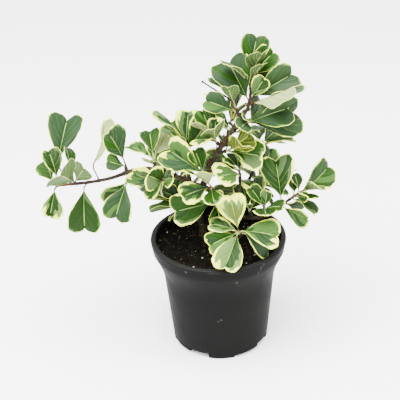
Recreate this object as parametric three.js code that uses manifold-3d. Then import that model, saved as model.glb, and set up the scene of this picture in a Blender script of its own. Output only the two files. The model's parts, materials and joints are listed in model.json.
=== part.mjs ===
// A young variegated triangle fig in a round nursery pot: pot, potting mix, two stems, six boughs and
// 25 sprigs of wedge-shaped leaves. Millimetres and degrees, +Z up, origin under the middle of the pot.
import * as THREE from "three";
import { mergeVertices } from "three/addons/utils/BufferGeometryUtils.js";
import Module from "manifold-3d";

const wasm = await Module();
wasm.setup();

// Pot: a tapered wall that flares to a lip, on four foot tabs and a flat middle pad.
const POT = {
  height: 104,
  lipRadius: 60,
  lipWidth: 4.6,
  lipDepth: 6.5,
  round: 1.2,
  footRadius: 42.9,
  flareStart: 71,
  flareRadius: 49.7,
  flareEnd: 93.5,
  flareEndRadius: 58.6,
  wall: 1.4,
  floor: 5.6,
  padRadius: 16,
  channelHeight: 3,
  channelRadius: 37,
  facets: 36,
};
const FOOT_CUTS = {
  count: 4, gapFirst: 45, gapWidth: 58, gapHeight: 1.8, drainFirst: 62, drainWidth: 25, drainHeight: 4.6,
};

// Potting mix: fills the pot to its level, uneven on top but flat around each stem.
const MIX = { level: 96, gap: 0.35, dip: 1.6, flat: 15, rings: 3 };
const CLEAR = 0.3;

// The light comes from the front, this far above the horizon, and the leaves turn to it. A direction is
// a clock hour on the face that looks to the light, and a lean towards the light in degrees.
const LIGHT_RISE = 31;

// Each limb is a tapering cubic curve of four points. One that grows from another names it and a share of
// its length, and its first point then lies on that limb.
const LIMBS = {
  main_stem: {
    foot: [10.8, 20], radius: [3.4, 2.4], flare: 1.5,
    curve: [[10.8, 20, 120], [6, 0, 146], [-15.4, -4, 156]],
  },
  back_stem: {
    foot: [-13.7, 13], radius: [2.7, 1.6], flare: 1.1,
    curve: [[-13.7, 13, 118], [-24, 20, 140], [-26, 14, 171]],
  },
  left_bough: {
    from: ["main_stem", 1], radius: [2.2, 1.6],
    curve: [[-32, -7, 165], [-50, -10, 186], [-78, -12, 174.5]],
  },
  upper_bough: {
    from: ["main_stem", 0.95], radius: [2.5, 2.1],
    curve: [[-18, 0, 168], [0, 6, 184], [25, 14, 215]],
  },
  right_bough: {
    from: ["main_stem", 0.28], radius: [1.8, 1.4],
    curve: [[24, 8, 118], [38, -8, 120], [51.5, -8, 133.5]],
  },
  front_bough: {
    from: ["main_stem", 0.16], radius: [1.6, 1.2],
    curve: [[14, 6, 106], [17, -20, 106], [18.8, -31, 122]],
  },
  centre_bough: {
    from: ["main_stem", 0.5], radius: [1.7, 1.2],
    curve: [[17, 4, 134], [20, 5, 144], [20, 5, 156]],
  },
  back_bough: {
    from: ["main_stem", 0.36], radius: [1.8, 1.3],
    curve: [[22, 30, 134], [34, 32, 146], [38, 28, 168]],
  },
};
const LIMB_MESH = { sides: 8, span: 11 };

// The blade is a wedge with round shoulders and a notch in its tip. The two curves give its half outline
// as shares of its length and half width. A longer blade has a deeper notch.
const BLADE = {
  side: [[0, 0], [0.2, 0.08], [0.42, 0.98], [0.74, 1]],
  top: [[0.74, 1], [0.98, 1.04], [1.06, 0.42], [0.95, 0]],
  sideShare: 0.6,
  rib: 0.78,
  width: [0.75, 0.98],
  notch: { from: 26, to: 46, most: 0.17 },
  fold: [8, 24],
  bend: [4, 40],
  wave: 0.055,
  thickness: 0.8,
  rows: 5,
};
const PETIOLE = { width: 1.5, thickness: 1.4 };
const STEM = { radius: [1.3, 0.9], sides: 4, span: 9 };

// Seeded leaves follow a spiral round their stem. Probe points keep a leaf clear of other leaves, limbs,
// pot and mix, and a leaf that finds no room in its tries is left out.
const SPIRAL = {
  turn: 137.5, swing: 3, seedTurn: 41, firstSeed: 500, first: 0.35, spread: [45, 80], lift: 0.3,
  petiole: [4, 8], length: [25, 38],
};
const PROBE = { shares: [0, 0.35, 0.7, 1], rows: 7, inner: 3, tries: 9, swing: 12 };
const ROOM = { leaf: 4.4, sister: 3, limb: 2, stem: 1, pot: 2, lip: 2 };

// Each sprig grows from a limb at a share of its length, on a stem of its own: hour, lean and length. Its
// leaves are rows of: share along the stem, petiole, hour, lean, blade length, roll about the blade.
// `more` leaves follow by the spiral, and the whole stays within `reach` of the middle of the stem.
const SPRIGS = {
  front: {
    from: ["front_bough", 1], stem: [11, 45, 4], seed: 5, more: 0, reach: 56,
    leaves: [
      [1, 4, 11.6, 12, 31, 0], [0.8, 4, 3.1, 15, 33, -30], [0.5, 4, 3.85, 5, 31, 0],
      [0.7, 5, 6.75, 27, 37, 0], [0.4, 4, 9.9, 10, 26, 40],
    ],
  },
  rim_left: {
    from: ["main_stem", 0.7], stem: [7, 30, 3], seed: 6, more: 0, reach: 50,
    leaves: [[1, 3, 8.5, 18, 38, -10]],
  },
  fork: {
    from: ["upper_bough", 0.2], stem: [10, 80, 11], seed: 7, more: 0, reach: 56,
    leaves: [[1, 2, 10.15, 16, 40, -5]],
  },
  fork_front: {
    from: ["main_stem", 0.88], stem: [11.3, 80, 15], seed: 8, more: 0, reach: 44,
    leaves: [[1, 3, 10.7, 12, 30, 125]],
  },
  left_end: {
    from: ["left_bough", 1], stem: [8.85, 0, 57], seed: 11, more: 2, reach: 84,
    leaves: [
      [0.39, 16, 12.95, -5, 42, 120],
      [0.56, 6, 6.05, 5, 41, 0], [0.8, 29, 12.35, -4, 41, 0], [0.91, 9, 11.7, 14, 26, 25],
      [0.8, 7, 12.5, 4, 26, 75], [0.72, 4, 1.5, 50, 24, 180], [1, 5, 6.3, 10, 25, -30],
    ],
  },
  left_top: {
    from: ["left_bough", 0.97], stem: [11.8, 5, 4], seed: 32, more: 0, reach: 46,
    leaves: [[1, 6, 11.2, 0, 31, 40], [0.5, 2, 9.6, 35, 18, 20]],
  },
  left_under: {
    from: ["left_bough", 0.97], stem: [6.2, 10, 3], seed: 12, more: 1, reach: 46,
    leaves: [[1, 6, 6.7, 15, 34, 10]],
  },
  bough_under: {
    from: ["left_bough", 0.5], stem: [6.6, 15, 3], seed: 13, more: 1, reach: 44,
    leaves: [[1, 3, 8.9, 5, 33, -62], [0.8, 3, 7.8, -10, 24, -20]],
  },
  mid_left: {
    from: ["left_bough", 0.66], stem: [11.8, 10, 4], seed: 14, more: 1, reach: 50,
    leaves: [[1, 7, 11.7, 5, 28, 0], [0.9, 10, 12.9, -10, 28, 170]],
  },
  centre: {
    from: ["centre_bough", 1], stem: [12, 5, 6], seed: 15, more: 1, reach: 50,
    leaves: [
      [1, 4, 9.6, 5, 35, 15], [0.4, 4, 9.2, 48, 29, 40],
      [0.1, 3, 11.3, 30, 22, 0], [0.9, 5, 12.9, -20, 32, 0],
    ],
  },
  right_low: {
    from: ["right_bough", 0.8], stem: [12, 62, 10], seed: 17, more: 0, reach: 50,
    leaves: [[1, 7, 11.35, 8, 33, 5]],
  },
  right_dark: {
    from: ["right_bough", 0.45], stem: [11.5, 20, 5], seed: 30, more: 0, reach: 44,
    leaves: [[1, 3, 11.6, 5, 25, 0], [0.7, 3, 1.2, 0, 23, 0]],
  },
  right_end: {
    from: ["right_bough", 1], stem: [1.9, 0, 22], seed: 16, more: 1, reach: 56,
    leaves: [
      [1, 4, 1.9, 5, 37, 30], [0.05, 9, 11.8, 0, 38, 0], [0.1, 4, 4, 20, 26, 55],
      [0.75, 3, 3.2, 30, 12, 0], [0.2, 4, 2.8, -25, 22, 60],
    ],
  },
  top: {
    from: ["upper_bough", 1], stem: [12, -5, 32], seed: 18, more: 4, reach: 60,
    leaves: [
      [0.25, 5, 11.1, 8, 41, -8], [0.36, 5, 12.7, 2, 41, 10], [0.33, 6, 2.05, 5, 42, 5],
      [0.3, 5, 1.2, 28, 22, 0], [1, 4, 12.4, 0, 32, 0],
    ],
  },
  top_right: {
    from: ["upper_bough", 0.93], stem: [3, 15, 4], seed: 19, more: 1, reach: 56,
    leaves: [[1, 5, 2.3, 30, 40, 165], [0.8, 5, 2.65, 6, 45, 25]],
  },
  top_left: {
    from: ["upper_bough", 0.97], stem: [11.5, 5, 10], seed: 20, more: 1, reach: 48,
    leaves: [[1, 14, 10.9, 0, 25, 0], [0.2, 4, 9.7, 8, 28, 20], [0.1, 14, 10.1, -20, 24, 80]],
  },
  middle_left: {
    from: ["upper_bough", 0.66], stem: [10.3, 15, 3], seed: 21, more: 1, reach: 44,
    leaves: [[1, 4, 11.3, 0, 28, 10], [0.8, 3, 12, 28, 21, 0], [0.6, 4, 9.9, -8, 26, 170]],
  },
  middle_right: {
    from: ["upper_bough", 0.6], stem: [2.5, -10, 4], seed: 22, more: 2, reach: 46,
    leaves: [[1, 3, 2.2, 0, 27, 150], [0.9, 4, 3.4, -5, 32, 0]],
  },
  back_left: {
    from: ["back_stem", 1], stem: [12, -5, 12], seed: 23, more: 3, reach: 54,
    leaves: [
      [0.9, 6, 10.9, 0, 31, 0], [1, 4, 12.2, 0, 30, 0],
      [0.5, 5, 1.3, 10, 34, 0], [0.4, 5, 10, 8, 30, 160],
    ],
  },
  back_right: {
    from: ["back_bough", 1], stem: [12.5, -10, 10], seed: 24, more: 3, reach: 52,
    leaves: [[1, 5, 12.6, 0, 34, 0], [0.8, 5, 1.5, 0, 32, 0]],
  },
  back_low: { from: ["back_stem", 0.45], stem: [8.5, -55, 16], seed: 25, more: 6, reach: 54, leaves: [] },
  back_high: { from: ["upper_bough", 0.72], stem: [1, -45, 20], seed: 26, more: 6, reach: 54, leaves: [] },
  back_mid: { from: ["back_bough", 0.5], stem: [3.5, -55, 16], seed: 27, more: 6, reach: 54, leaves: [] },
  back_side: { from: ["back_stem", 0.78], stem: [9.4, -48, 18], seed: 28, more: 5, reach: 54, leaves: [] },
  back_top: { from: ["upper_bough", 0.86], stem: [11, -72, 22], seed: 29, more: 5, reach: 54, leaves: [] },
};

const FINISH = {
  pot: { color: 0x2b2d2e, roughness: 0.45, metalness: 0 },
  mix: { color: 0x1f1814, roughness: 0.95, metalness: 0 },
  bark: { color: 0x4c4136, roughness: 0.8, metalness: 0 },
  leaf: { color: 0x4f7f45, roughness: 0.5, metalness: 0 },
};

// Vectors, curves and random numbers

const rad = THREE.MathUtils.degToRad;
const lerp = THREE.MathUtils.lerp;
const vec = (p) => new THREE.Vector3(...p);
const UP = new THREE.Vector3(0, 0, 1);
const RIGHT = new THREE.Vector3(1, 0, 0);
const RISE = new THREE.Vector3(0, Math.sin(rad(LIGHT_RISE)), Math.cos(rad(LIGHT_RISE)));
const LIGHT = new THREE.Vector3(0, -Math.cos(rad(LIGHT_RISE)), Math.sin(rad(LIGHT_RISE)));

/** Sum of vectors, each times its own share. */
const blend = (...pairs) => pairs.reduce((sum, [v, share]) => sum.addScaledVector(v, share), vec([0, 0, 0]));

/** Unit vector of a clock hour on the lit face, leaning `lean` degrees to the light. */
function aim(hour, lean) {
  const turn = rad(hour * 30);
  const flat = Math.cos(rad(lean));
  return blend([RIGHT, Math.sin(turn) * flat], [RISE, Math.cos(turn) * flat], [LIGHT, Math.sin(rad(lean))]);
}

/** Weights of a cubic Bezier's four points. */
function weights(t) {
  const u = 1 - t;
  return [u * u * u, 3 * u * u * t, 3 * u * t * t, t * t * t];
}

/** Point of a cubic Bezier of plain number pairs. */
function cubic(points, t) {
  const w = weights(t);
  return [0, 1].map((i) => points.reduce((sum, p, k) => sum + w[k] * p[i], 0));
}

/** Repeatable random numbers: each call gives one between `low` and `high`. */
function dice(seed) {
  let state = seed;
  return (low, high) => {
    state = (Math.imul(state, 1664525) + 1013904223) >>> 0;
    return lerp(low, high, state / 4294967296);
  };
}

/** The part of `v` square to the unit vector `axis`, as a unit vector. */
function square(v, axis) {
  return v.clone().addScaledVector(axis, -v.dot(axis)).normalize();
}

// Solids

/** Closed manifold solid of a geometry whose faces may have collapsed sides. */
function solid(geometry) {
  const bare = new THREE.BufferGeometry()
    .setAttribute("position", geometry.getAttribute("position"))
    .setIndex(geometry.getIndex());
  const merged = mergeVertices(bare, 1e-4);
  const index = merged.getIndex().array;
  const kept = [];
  for (let i = 0; i < index.length; i += 3) {
    const [a, b, c] = index.slice(i, i + 3);
    if (a !== b && b !== c && c !== a) kept.push(a, b, c);
  }
  const vertProperties = merged.getAttribute("position").array;
  return new wasm.Manifold(new wasm.Mesh({ numProp: 3, vertProperties, triVerts: new Uint32Array(kept) }));
}

/** Named mesh of a manifold solid. */
function piece(name, body, finish) {
  const { numProp, vertProperties, triVerts } = body.getMesh();
  const geometry = new THREE.BufferGeometry();
  geometry.setAttribute("position", new THREE.InterleavedBufferAttribute(
    new THREE.InterleavedBuffer(vertProperties, numProp), 3, 0));
  geometry.setIndex(new THREE.BufferAttribute(triVerts, 1));
  const mesh = new THREE.Mesh(geometry.toNonIndexed(), new THREE.MeshStandardMaterial(finish));
  mesh.geometry.computeVertexNormals();
  mesh.name = name;
  return mesh;
}

/** Round tapering tube along a curve: a straight extrusion whose rings are moved onto the curve. */
function tube(curve, radiusAt, sides, spans) {
  const ring = new THREE.Shape();
  for (let i = 0; i < sides; i += 1) {
    const a = (i / sides) * 2 * Math.PI;
    ring[i ? "lineTo" : "moveTo"](Math.cos(a), Math.sin(a));
  }
  const geometry = new THREE.ExtrudeGeometry(ring, { depth: 1, steps: spans, bevelEnabled: false });
  const position = geometry.getAttribute("position");
  const helper = square(new THREE.Vector3(0.31, 0.17, 0.94), curve.getTangent(0));
  for (let i = 0; i < position.count; i += 1) {
    const t = position.getZ(i);
    const along = curve.getTangent(t);
    const across = square(helper, along);
    const around = along.clone().cross(across);
    const r = radiusAt(t);
    const at = blend([curve.getPoint(t), 1], [across, position.getX(i) * r], [around, position.getY(i) * r]);
    position.setXYZ(i, at.x, at.y, at.z);
  }
  return solid(geometry);
}

// Pot and potting mix

/** Outer radius of the pot's wall from its foot to the lip, as points of radius and height. */
function wallProfile() {
  const flare = [
    [POT.flareRadius, POT.flareStart], [POT.flareRadius + 0.7, POT.flareStart + 8],
    [POT.flareEndRadius - 3.8, POT.flareEnd - 9], [POT.flareEndRadius, POT.flareEnd],
  ];
  return [0, 0.25, 0.5, 0.75, 1].map((t) => cubic(flare, t));
}

/** Solid of revolution about Z from a closed profile of radius and height. */
function turned(profile, facets) {
  const lathe = new THREE.LatheGeometry(profile.map(([r, z]) => new THREE.Vector2(r, z)), facets);
  return lathe.rotateX(Math.PI / 2);
}

/** A block over part of a ring, from the foot's channel out past the wall, centred on an angle. */
function ringBlock(centre, width, height) {
  const inner = POT.channelRadius - 1;
  const outer = POT.footRadius + 4;
  const [a, b] = [rad(centre - width / 2), rad(centre + width / 2)];
  const shape = new THREE.Shape();
  shape.absarc(0, 0, outer, a, b, false);
  shape.absarc(0, 0, inner, b, a, true);
  return solid(new THREE.ExtrudeGeometry(shape, { depth: height + 1, bevelEnabled: false, curveSegments: 6 })
    .translate(0, 0, -1));
}

/** Pot: a turned wall, lip and floor, with its foot cut into tabs and drain notches. */
function potSolid() {
  const wall = wallProfile();
  const { height, lipRadius, lipWidth, lipDepth, round, wall: skin } = POT;
  const profile = [
    [0, 0], [POT.padRadius, 0], [POT.padRadius + 1, POT.channelHeight],
    [POT.channelRadius, POT.channelHeight], [POT.channelRadius, 0],
    [POT.footRadius - round, 0], [POT.footRadius, round],
    ...wall,
    [lipRadius, height - lipDepth], [lipRadius, height - round], [lipRadius - round, height],
    [lipRadius - lipWidth + round, height], [lipRadius - lipWidth, height - round],
    [lipRadius - lipWidth - 0.1, height - lipDepth - 2],
    ...wall.slice(0, -1).reverse().map(([r, z]) => [r - skin, z]),
    [POT.footRadius - skin + 0.4, POT.floor], [0, POT.floor],
  ];
  let body = solid(turned(profile, POT.facets));
  for (let i = 0; i < FOOT_CUTS.count; i += 1) {
    const turn = (360 / FOOT_CUTS.count) * i - 90;
    body = body.subtract(ringBlock(FOOT_CUTS.gapFirst + turn, FOOT_CUTS.gapWidth, FOOT_CUTS.gapHeight));
    body = body.subtract(ringBlock(FOOT_CUTS.drainFirst + turn, FOOT_CUTS.drainWidth, FOOT_CUTS.drainHeight));
  }
  return body;
}

/** How far the top of the mix lies under its level: nothing around a stem, an uneven dip elsewhere. */
function dipAt(x, y) {
  const feet = Object.values(LIMBS).filter((limb) => limb.foot).map((limb) => limb.foot);
  const nearest = Math.min(...feet.map(([u, v]) => Math.hypot(x - u, y - v)));
  const away = THREE.MathUtils.clamp((nearest - MIX.flat) / 6, 0, 1);
  return MIX.dip * away * (0.55 + 0.45 * Math.sin(0.31 * x + 1.3) * Math.cos(0.27 * y - 0.6));
}

/** Potting mix: a plug that fills the pot to its level, with an uneven top. */
function mixSolid() {
  const inside = wallProfile().slice(0, -1).map(([r, z]) => [r - POT.wall - MIX.gap, z]);
  const rim = POT.lipRadius - POT.lipWidth - 0.2 - MIX.gap;
  const rings = Array.from({ length: MIX.rings }, (_, i) => [(rim * (MIX.rings - i)) / MIX.rings, MIX.level]);
  const foot = [POT.footRadius - POT.wall, POT.floor + MIX.gap];
  const profile = [[0, foot[1]], foot, ...inside, [rim, MIX.level - 3], ...rings, [0, MIX.level]];
  const geometry = turned(profile, POT.facets);
  const position = geometry.getAttribute("position");
  for (let i = 0; i < position.count; i += 1) {
    const [x, y, z] = [position.getX(i), position.getY(i), position.getZ(i)];
    if (z > MIX.level - 0.01) position.setZ(i, z - dipAt(x, y));
  }
  return solid(geometry);
}

// Limbs

/** Where something leaves a limb: its first point and direction, clear of the limb's bark. */
function exit(limb, share, towards) {
  const tangent = limb.path.getTangent(share);
  if (share === 1) return [limb.path.getPoint(1).addScaledVector(tangent, CLEAR), tangent];
  const out = square(towards, tangent);
  return [limb.path.getPoint(share).addScaledVector(out, limb.radiusAt(share) + CLEAR), out];
}

/** Curves and radii of all limbs, in their order of growth. */
function growLimbs() {
  const grown = {};
  for (const [name, { from, foot, curve, radius, flare = 0 }] of Object.entries(LIMBS)) {
    const [second, third, tip] = curve.map(vec);
    let start = foot && vec([...foot, MIX.level + CLEAR]);
    if (from) {
      const parent = grown[from[0]];
      const [root, out] = exit(parent, from[1], second.clone().sub(parent.path.getPoint(from[1])));
      const handle = second.distanceTo(root);
      second.copy(root).addScaledVector(out, handle);
      start = root;
    }
    const path = new THREE.CubicBezierCurve3(start, second, third, tip);
    const radiusAt = (t) => lerp(radius[0], radius[1], t) + flare * Math.exp(-t * 14);
    grown[name] = { path, radiusAt, length: path.getLength() };
  }
  return grown;
}

/** Tube of a limb or stem, flat at its foot when it stands on the mix. */
function limbSolid({ path, radiusAt, length }, sides, span) {
  return tube(path, radiusAt, sides, Math.max(3, Math.round(length / span)));
}

// Leaves

/** Half outline of a blade at a share of the way from its foot to the middle of its tip. */
function outline(t, notch) {
  if (t < BLADE.sideShare) return cubic(BLADE.side, t / BLADE.sideShare);
  const top = BLADE.top.map(([a, b], i) => (i === 3 ? [a - notch, b] : [a, b]));
  return cubic(top, (t - BLADE.sideShare) / (1 - BLADE.sideShare));
}

/**
 * Point of a blade: `across` runs from -1 at one edge over 0 at the rib to 1 at the other, `t` from the
 * foot to the tip, and `up` is the height over the middle of its thickness.
 */
function bladePoint(leaf, across, t, up) {
  const reach = Math.abs(across);
  const [a, b] = outline(t, leaf.notch);
  const along = lerp(Math.min(BLADE.rib, BLADE.top[3][0] - leaf.notch) * t, a, reach) * leaf.length;
  const half = (Math.sign(across) * reach * b * leaf.width) / 2;
  const wave = Math.sin(leaf.phase + 9 * t + 2 * Math.sign(across));
  const ripple = BLADE.wave * leaf.length * reach * reach * b * (1 - t) * wave;
  const lift = Math.abs(half) * Math.sin(leaf.fold) + ripple;
  const turn = leaf.bend * (along / leaf.length);
  const arc = leaf.length / leaf.bend;
  const rise = lift + up;
  return leaf.base.clone()
    .addScaledVector(leaf.along, arc * Math.sin(turn) + rise * Math.sin(turn))
    .addScaledVector(leaf.across, half * Math.cos(leaf.fold))
    .addScaledVector(leaf.face, rise * Math.cos(turn) - arc * (1 - Math.cos(turn)));
}

/** A leaf on its stem: where its petiole starts, its blade's frame, sizes and curl. */
function makeLeaf(start, stemwards, along, face, petiole, length, random) {
  const base = start.clone().addScaledVector(blend([along, 1], [stemwards, 0.7]).normalize(), petiole);
  const { notch, fold, bend, width } = BLADE;
  const depth = THREE.MathUtils.clamp((length - notch.from) / (notch.to - notch.from), 0.1, 1);
  return {
    start, base, along, face, length,
    across: along.clone().cross(face),
    notch: notch.most * depth * random(0.4, 1),
    width: length * random(...width),
    fold: rad(random(...fold)),
    bend: rad(random(...bend)),
    phase: random(0, 2 * Math.PI),
  };
}

/** Leaf of a row of a sprig's table, swung to or from the light by `swing` degrees. */
function aimedLeaf(stem, [share, petiole, hour, lean, length, roll], swing, random) {
  const along = aim(hour, lean + swing);
  const face = square(LIGHT, along).applyAxisAngle(along, rad(roll));
  const start = stem.path.getPoint(share);
  return makeLeaf(start, stem.path.getTangent(share), along, face, petiole, length, random);
}

/** The next leaf of a sprig's spiral, turned on by `swing` degrees. */
function spiralLeaf(stem, turn, share, swing, random) {
  const axis = stem.path.getTangent(share);
  const side = square(RIGHT, axis).applyAxisAngle(axis, rad(turn + SPIRAL.swing * swing));
  const spread = rad(random(...SPIRAL.spread));
  const along = blend([axis, Math.cos(spread)], [side, Math.sin(spread)], [UP, SPIRAL.lift]).normalize();
  const face = square(blend([axis, 0.6], [UP, 0.7], [LIGHT, 0.25]), along);
  const petiole = random(...SPIRAL.petiole);
  return makeLeaf(stem.path.getPoint(share), axis, along, face, petiole, random(...SPIRAL.length), random);
}

/** Probe points of a leaf: those of its blade, then three on its petiole. */
function probes(leaf) {
  const points = [];
  for (let row = 1; row <= PROBE.rows; row += 1) {
    for (const share of PROBE.shares) {
      points.push(bladePoint(leaf, share, row / PROBE.rows, 0));
      if (share) points.push(bladePoint(leaf, -share, row / PROBE.rows, 0));
    }
  }
  const stalk = [0.4, 0.7, 1].map((t) => leaf.start.clone().lerp(leaf.base, t));
  return { blade: points, stalk };
}

const near = (points, others, room) => points.some((p) => others.some((q) => p.distanceTo(q) < room));

/** Whether a point is inside the pot's wall or lip, or in the mix. */
function inPot({ x, y, z }) {
  const r = Math.hypot(x, y);
  if (z < MIX.level + ROOM.pot && r < POT.lipRadius + ROOM.lip) return true;
  const fromLip = Math.abs(r - POT.lipRadius + POT.lipWidth / 2) - POT.lipWidth / 2;
  return z < POT.height + ROOM.pot && fromLip < ROOM.lip;
}

/** Axis points of a limb or stem, with its radius at each. */
function axisPoints({ path, radiusAt }) {
  return Array.from({ length: 25 }, (_, i) => ({ at: path.getPoint(i / 24), radius: radiusAt(i / 24) }));
}

/** Whether a leaf keeps clear of pot, limbs, stems and all leaves placed before it. */
function hasRoom(leaf, stem, reach, placed, limbs) {
  const { blade, stalk } = probes(leaf);
  const middle = stem.path.getPoint(0.5);
  const outer = blade.slice(PROBE.inner * (2 * PROBE.shares.length - 1));
  if (blade.some((p) => p.distanceTo(middle) > reach || inPot(p))) return false;
  for (const limb of limbs) {
    const own = limb.owner === stem;
    const tested = own ? outer : [...blade, ...stalk.slice(1)];
    const room = own ? ROOM.stem : ROOM.limb;
    if (limb.points.some(({ at, radius }) => near(tested, [at], radius + room))) return false;
  }
  for (const other of placed) {
    if (other.stem === stem) {
      if (near(outer, other.outer, ROOM.sister)) return false;
    } else if (near([...blade, ...stalk], other.all, ROOM.leaf)) return false;
  }
  placed.push({ stem, outer, all: [...blade, ...stalk] });
  return true;
}

/** Tries a leaf at growing swings to either side, and keeps the first one that has room. */
function settle(make, seed, sprig, placed, obstacles) {
  for (let i = 0; i < PROBE.tries; i += 1) {
    const swing = PROBE.swing * Math.ceil(i / 2) * (i % 2 ? 1 : -1);
    const leaf = make(swing, dice(sprig.plan.seed * 1000 + seed));
    if (hasRoom(leaf, sprig.stem, sprig.plan.reach, placed, obstacles)) {
      sprig.leaves.push(leaf);
      return;
    }
  }
}

/** Stem of a sprig, from its limb's bark or tip. */
function sprigStem(limb, share, [hour, lean, length]) {
  const towards = aim(hour, lean);
  const [start, out] = exit(limb, share, towards);
  const tip = start.clone().addScaledVector(blend([out, 0.25], [towards, 0.75]).normalize(), length);
  const second = start.clone().addScaledVector(out, length / 3);
  const third = tip.clone().addScaledVector(towards, -length / 3);
  const path = new THREE.CubicBezierCurve3(start, second, third, tip);
  return { path, radiusAt: (t) => lerp(...STEM.radius, t), length };
}

/** All sprigs with the leaves that found room: aimed leaves of every sprig first, then the spirals. */
function growSprigs(limbs) {
  const placed = [];
  const sprigs = Object.entries(SPRIGS).map(([name, plan]) => {
    const stem = sprigStem(limbs[plan.from[0]], plan.from[1], plan.stem);
    return { name, plan, stem, leaves: [] };
  });
  const obstacles = [
    ...Object.values(limbs).map((limb) => ({ points: axisPoints(limb) })),
    ...sprigs.map(({ stem }) => ({ owner: stem, points: axisPoints(stem) })),
  ];
  for (const sprig of sprigs) {
    sprig.plan.leaves.forEach((row, i) => {
      settle((swing, random) => aimedLeaf(sprig.stem, row, swing, random), i, sprig, placed, obstacles);
    });
  }
  for (const sprig of sprigs) {
    const { more, seed } = sprig.plan;
    for (let i = 0; i < more; i += 1) {
      const share = lerp(SPIRAL.first, 1, (i + 1) / more);
      const turn = SPIRAL.turn * i + seed * SPIRAL.seedTurn;
      const make = (swing, random) => spiralLeaf(sprig.stem, turn, share, swing, random);
      settle(make, SPIRAL.firstSeed + i, sprig, placed, obstacles);
    }
  }
  return sprigs;
}

/** Thin closed leaf: a box of two halves and rows, the first for the petiole, moved onto its surface. */
function leafSolid(leaf) {
  const box = new THREE.BoxGeometry(2, 1, 1, 2, BLADE.rows + 1, 1);
  const position = box.getAttribute("position");
  for (let i = 0; i < position.count; i += 1) {
    const [across, up] = [position.getX(i), position.getZ(i)];
    const row = Math.round((position.getY(i) + 0.5) * (BLADE.rows + 1)) - 1;
    const stalk = [[leaf.across, (across * PETIOLE.width) / 2], [leaf.face, up * PETIOLE.thickness]];
    const at = row > 0
      ? bladePoint(leaf, across, row / BLADE.rows, up * BLADE.thickness)
      : blend([row < 0 ? leaf.start : leaf.base, 1], ...stalk);
    position.setXYZ(i, at.x, at.y, at.z);
  }
  const tipFace = box.groups[2];
  const index = Array.from(box.getIndex().array);
  index.splice(tipFace.start, tipFace.count);
  box.setIndex(index);
  return solid(box);
}

/** Stem and leaves fused to one body, with any hollow that they seal filled. */
function sprigSolid({ stem, leaves }) {
  const fused = leaves.reduce(
    (body, leaf) => body.add(leafSolid(leaf)),
    limbSolid(stem, STEM.sides, STEM.span),
  );
  return fused.decompose().sort((a, b) => b.volume() - a.volume())[0];
}

/** The whole plant in its pot, one named mesh for each sub-part. */
function buildPlant() {
  const plant = new THREE.Group();
  const limbs = growLimbs();
  plant.add(piece("pot", potSolid(), FINISH.pot), piece("potting_mix", mixSolid(), FINISH.mix));
  for (const [name, limb] of Object.entries(limbs)) {
    plant.add(piece(name, limbSolid(limb, LIMB_MESH.sides, LIMB_MESH.span), FINISH.bark));
  }
  for (const sprig of growSprigs(limbs)) {
    plant.add(piece(`sprig_${sprig.name}`, sprigSolid(sprig), FINISH.leaf));
  }
  return plant;
}

export default buildPlant();
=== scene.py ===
"""Potted variegated triangle fig: pot, potting mix, bark, twigs and leaves, seen in a soft pale studio.

Lengths are millimetres while a shape is worked out, and metres in every Blender object.
"""
import json
import logging
import math
from dataclasses import dataclass, field
from enum import Enum
from typing import Callable, Sequence

import bpy
import numpy as np
from mathutils import Matrix, Vector, noise

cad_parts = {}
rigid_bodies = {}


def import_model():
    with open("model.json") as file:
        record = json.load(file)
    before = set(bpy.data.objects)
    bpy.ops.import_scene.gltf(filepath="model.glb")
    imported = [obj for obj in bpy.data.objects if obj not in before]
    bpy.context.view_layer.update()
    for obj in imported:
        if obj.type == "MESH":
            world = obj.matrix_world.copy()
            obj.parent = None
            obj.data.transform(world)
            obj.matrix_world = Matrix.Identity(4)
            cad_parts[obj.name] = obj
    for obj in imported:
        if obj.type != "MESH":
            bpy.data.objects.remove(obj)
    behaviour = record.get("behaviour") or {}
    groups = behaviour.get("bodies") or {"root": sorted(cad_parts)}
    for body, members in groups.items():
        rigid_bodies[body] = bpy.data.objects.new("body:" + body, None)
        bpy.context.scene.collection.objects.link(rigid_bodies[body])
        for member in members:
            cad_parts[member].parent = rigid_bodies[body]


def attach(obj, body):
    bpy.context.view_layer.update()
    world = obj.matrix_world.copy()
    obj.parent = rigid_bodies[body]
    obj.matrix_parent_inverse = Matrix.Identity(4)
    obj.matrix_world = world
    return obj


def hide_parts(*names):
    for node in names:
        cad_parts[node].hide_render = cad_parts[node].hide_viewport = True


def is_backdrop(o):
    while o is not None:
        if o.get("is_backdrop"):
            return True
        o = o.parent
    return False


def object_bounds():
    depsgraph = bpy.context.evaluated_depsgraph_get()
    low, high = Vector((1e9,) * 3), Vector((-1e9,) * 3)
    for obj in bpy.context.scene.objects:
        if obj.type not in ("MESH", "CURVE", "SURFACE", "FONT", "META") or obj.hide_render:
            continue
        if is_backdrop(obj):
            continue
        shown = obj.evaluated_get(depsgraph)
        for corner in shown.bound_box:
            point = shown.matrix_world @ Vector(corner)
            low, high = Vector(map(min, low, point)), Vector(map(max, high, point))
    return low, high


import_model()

LOG = logging.getLogger("fig")
MM = 0.001
Pair = tuple[float, float]
Colour = tuple[float, float, float]
Feed = bpy.types.NodeSocket | float | tuple
Layer = tuple[Colour, dict[str, float]]
Sockets = bpy.types.bpy_prop_collection


# Rule of growth: that of the part, and then the leaves that only this script adds or turns

LIGHT_RISE = math.radians(31)
UP = np.array([0.0, 0.0, 1.0])
RIGHT = np.array([1.0, 0.0, 0.0])
RISE = np.array([0.0, math.sin(LIGHT_RISE), math.cos(LIGHT_RISE)])
LIGHT = np.array([0.0, -math.cos(LIGHT_RISE), math.sin(LIGHT_RISE)])
CLEAR = 0.3

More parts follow.
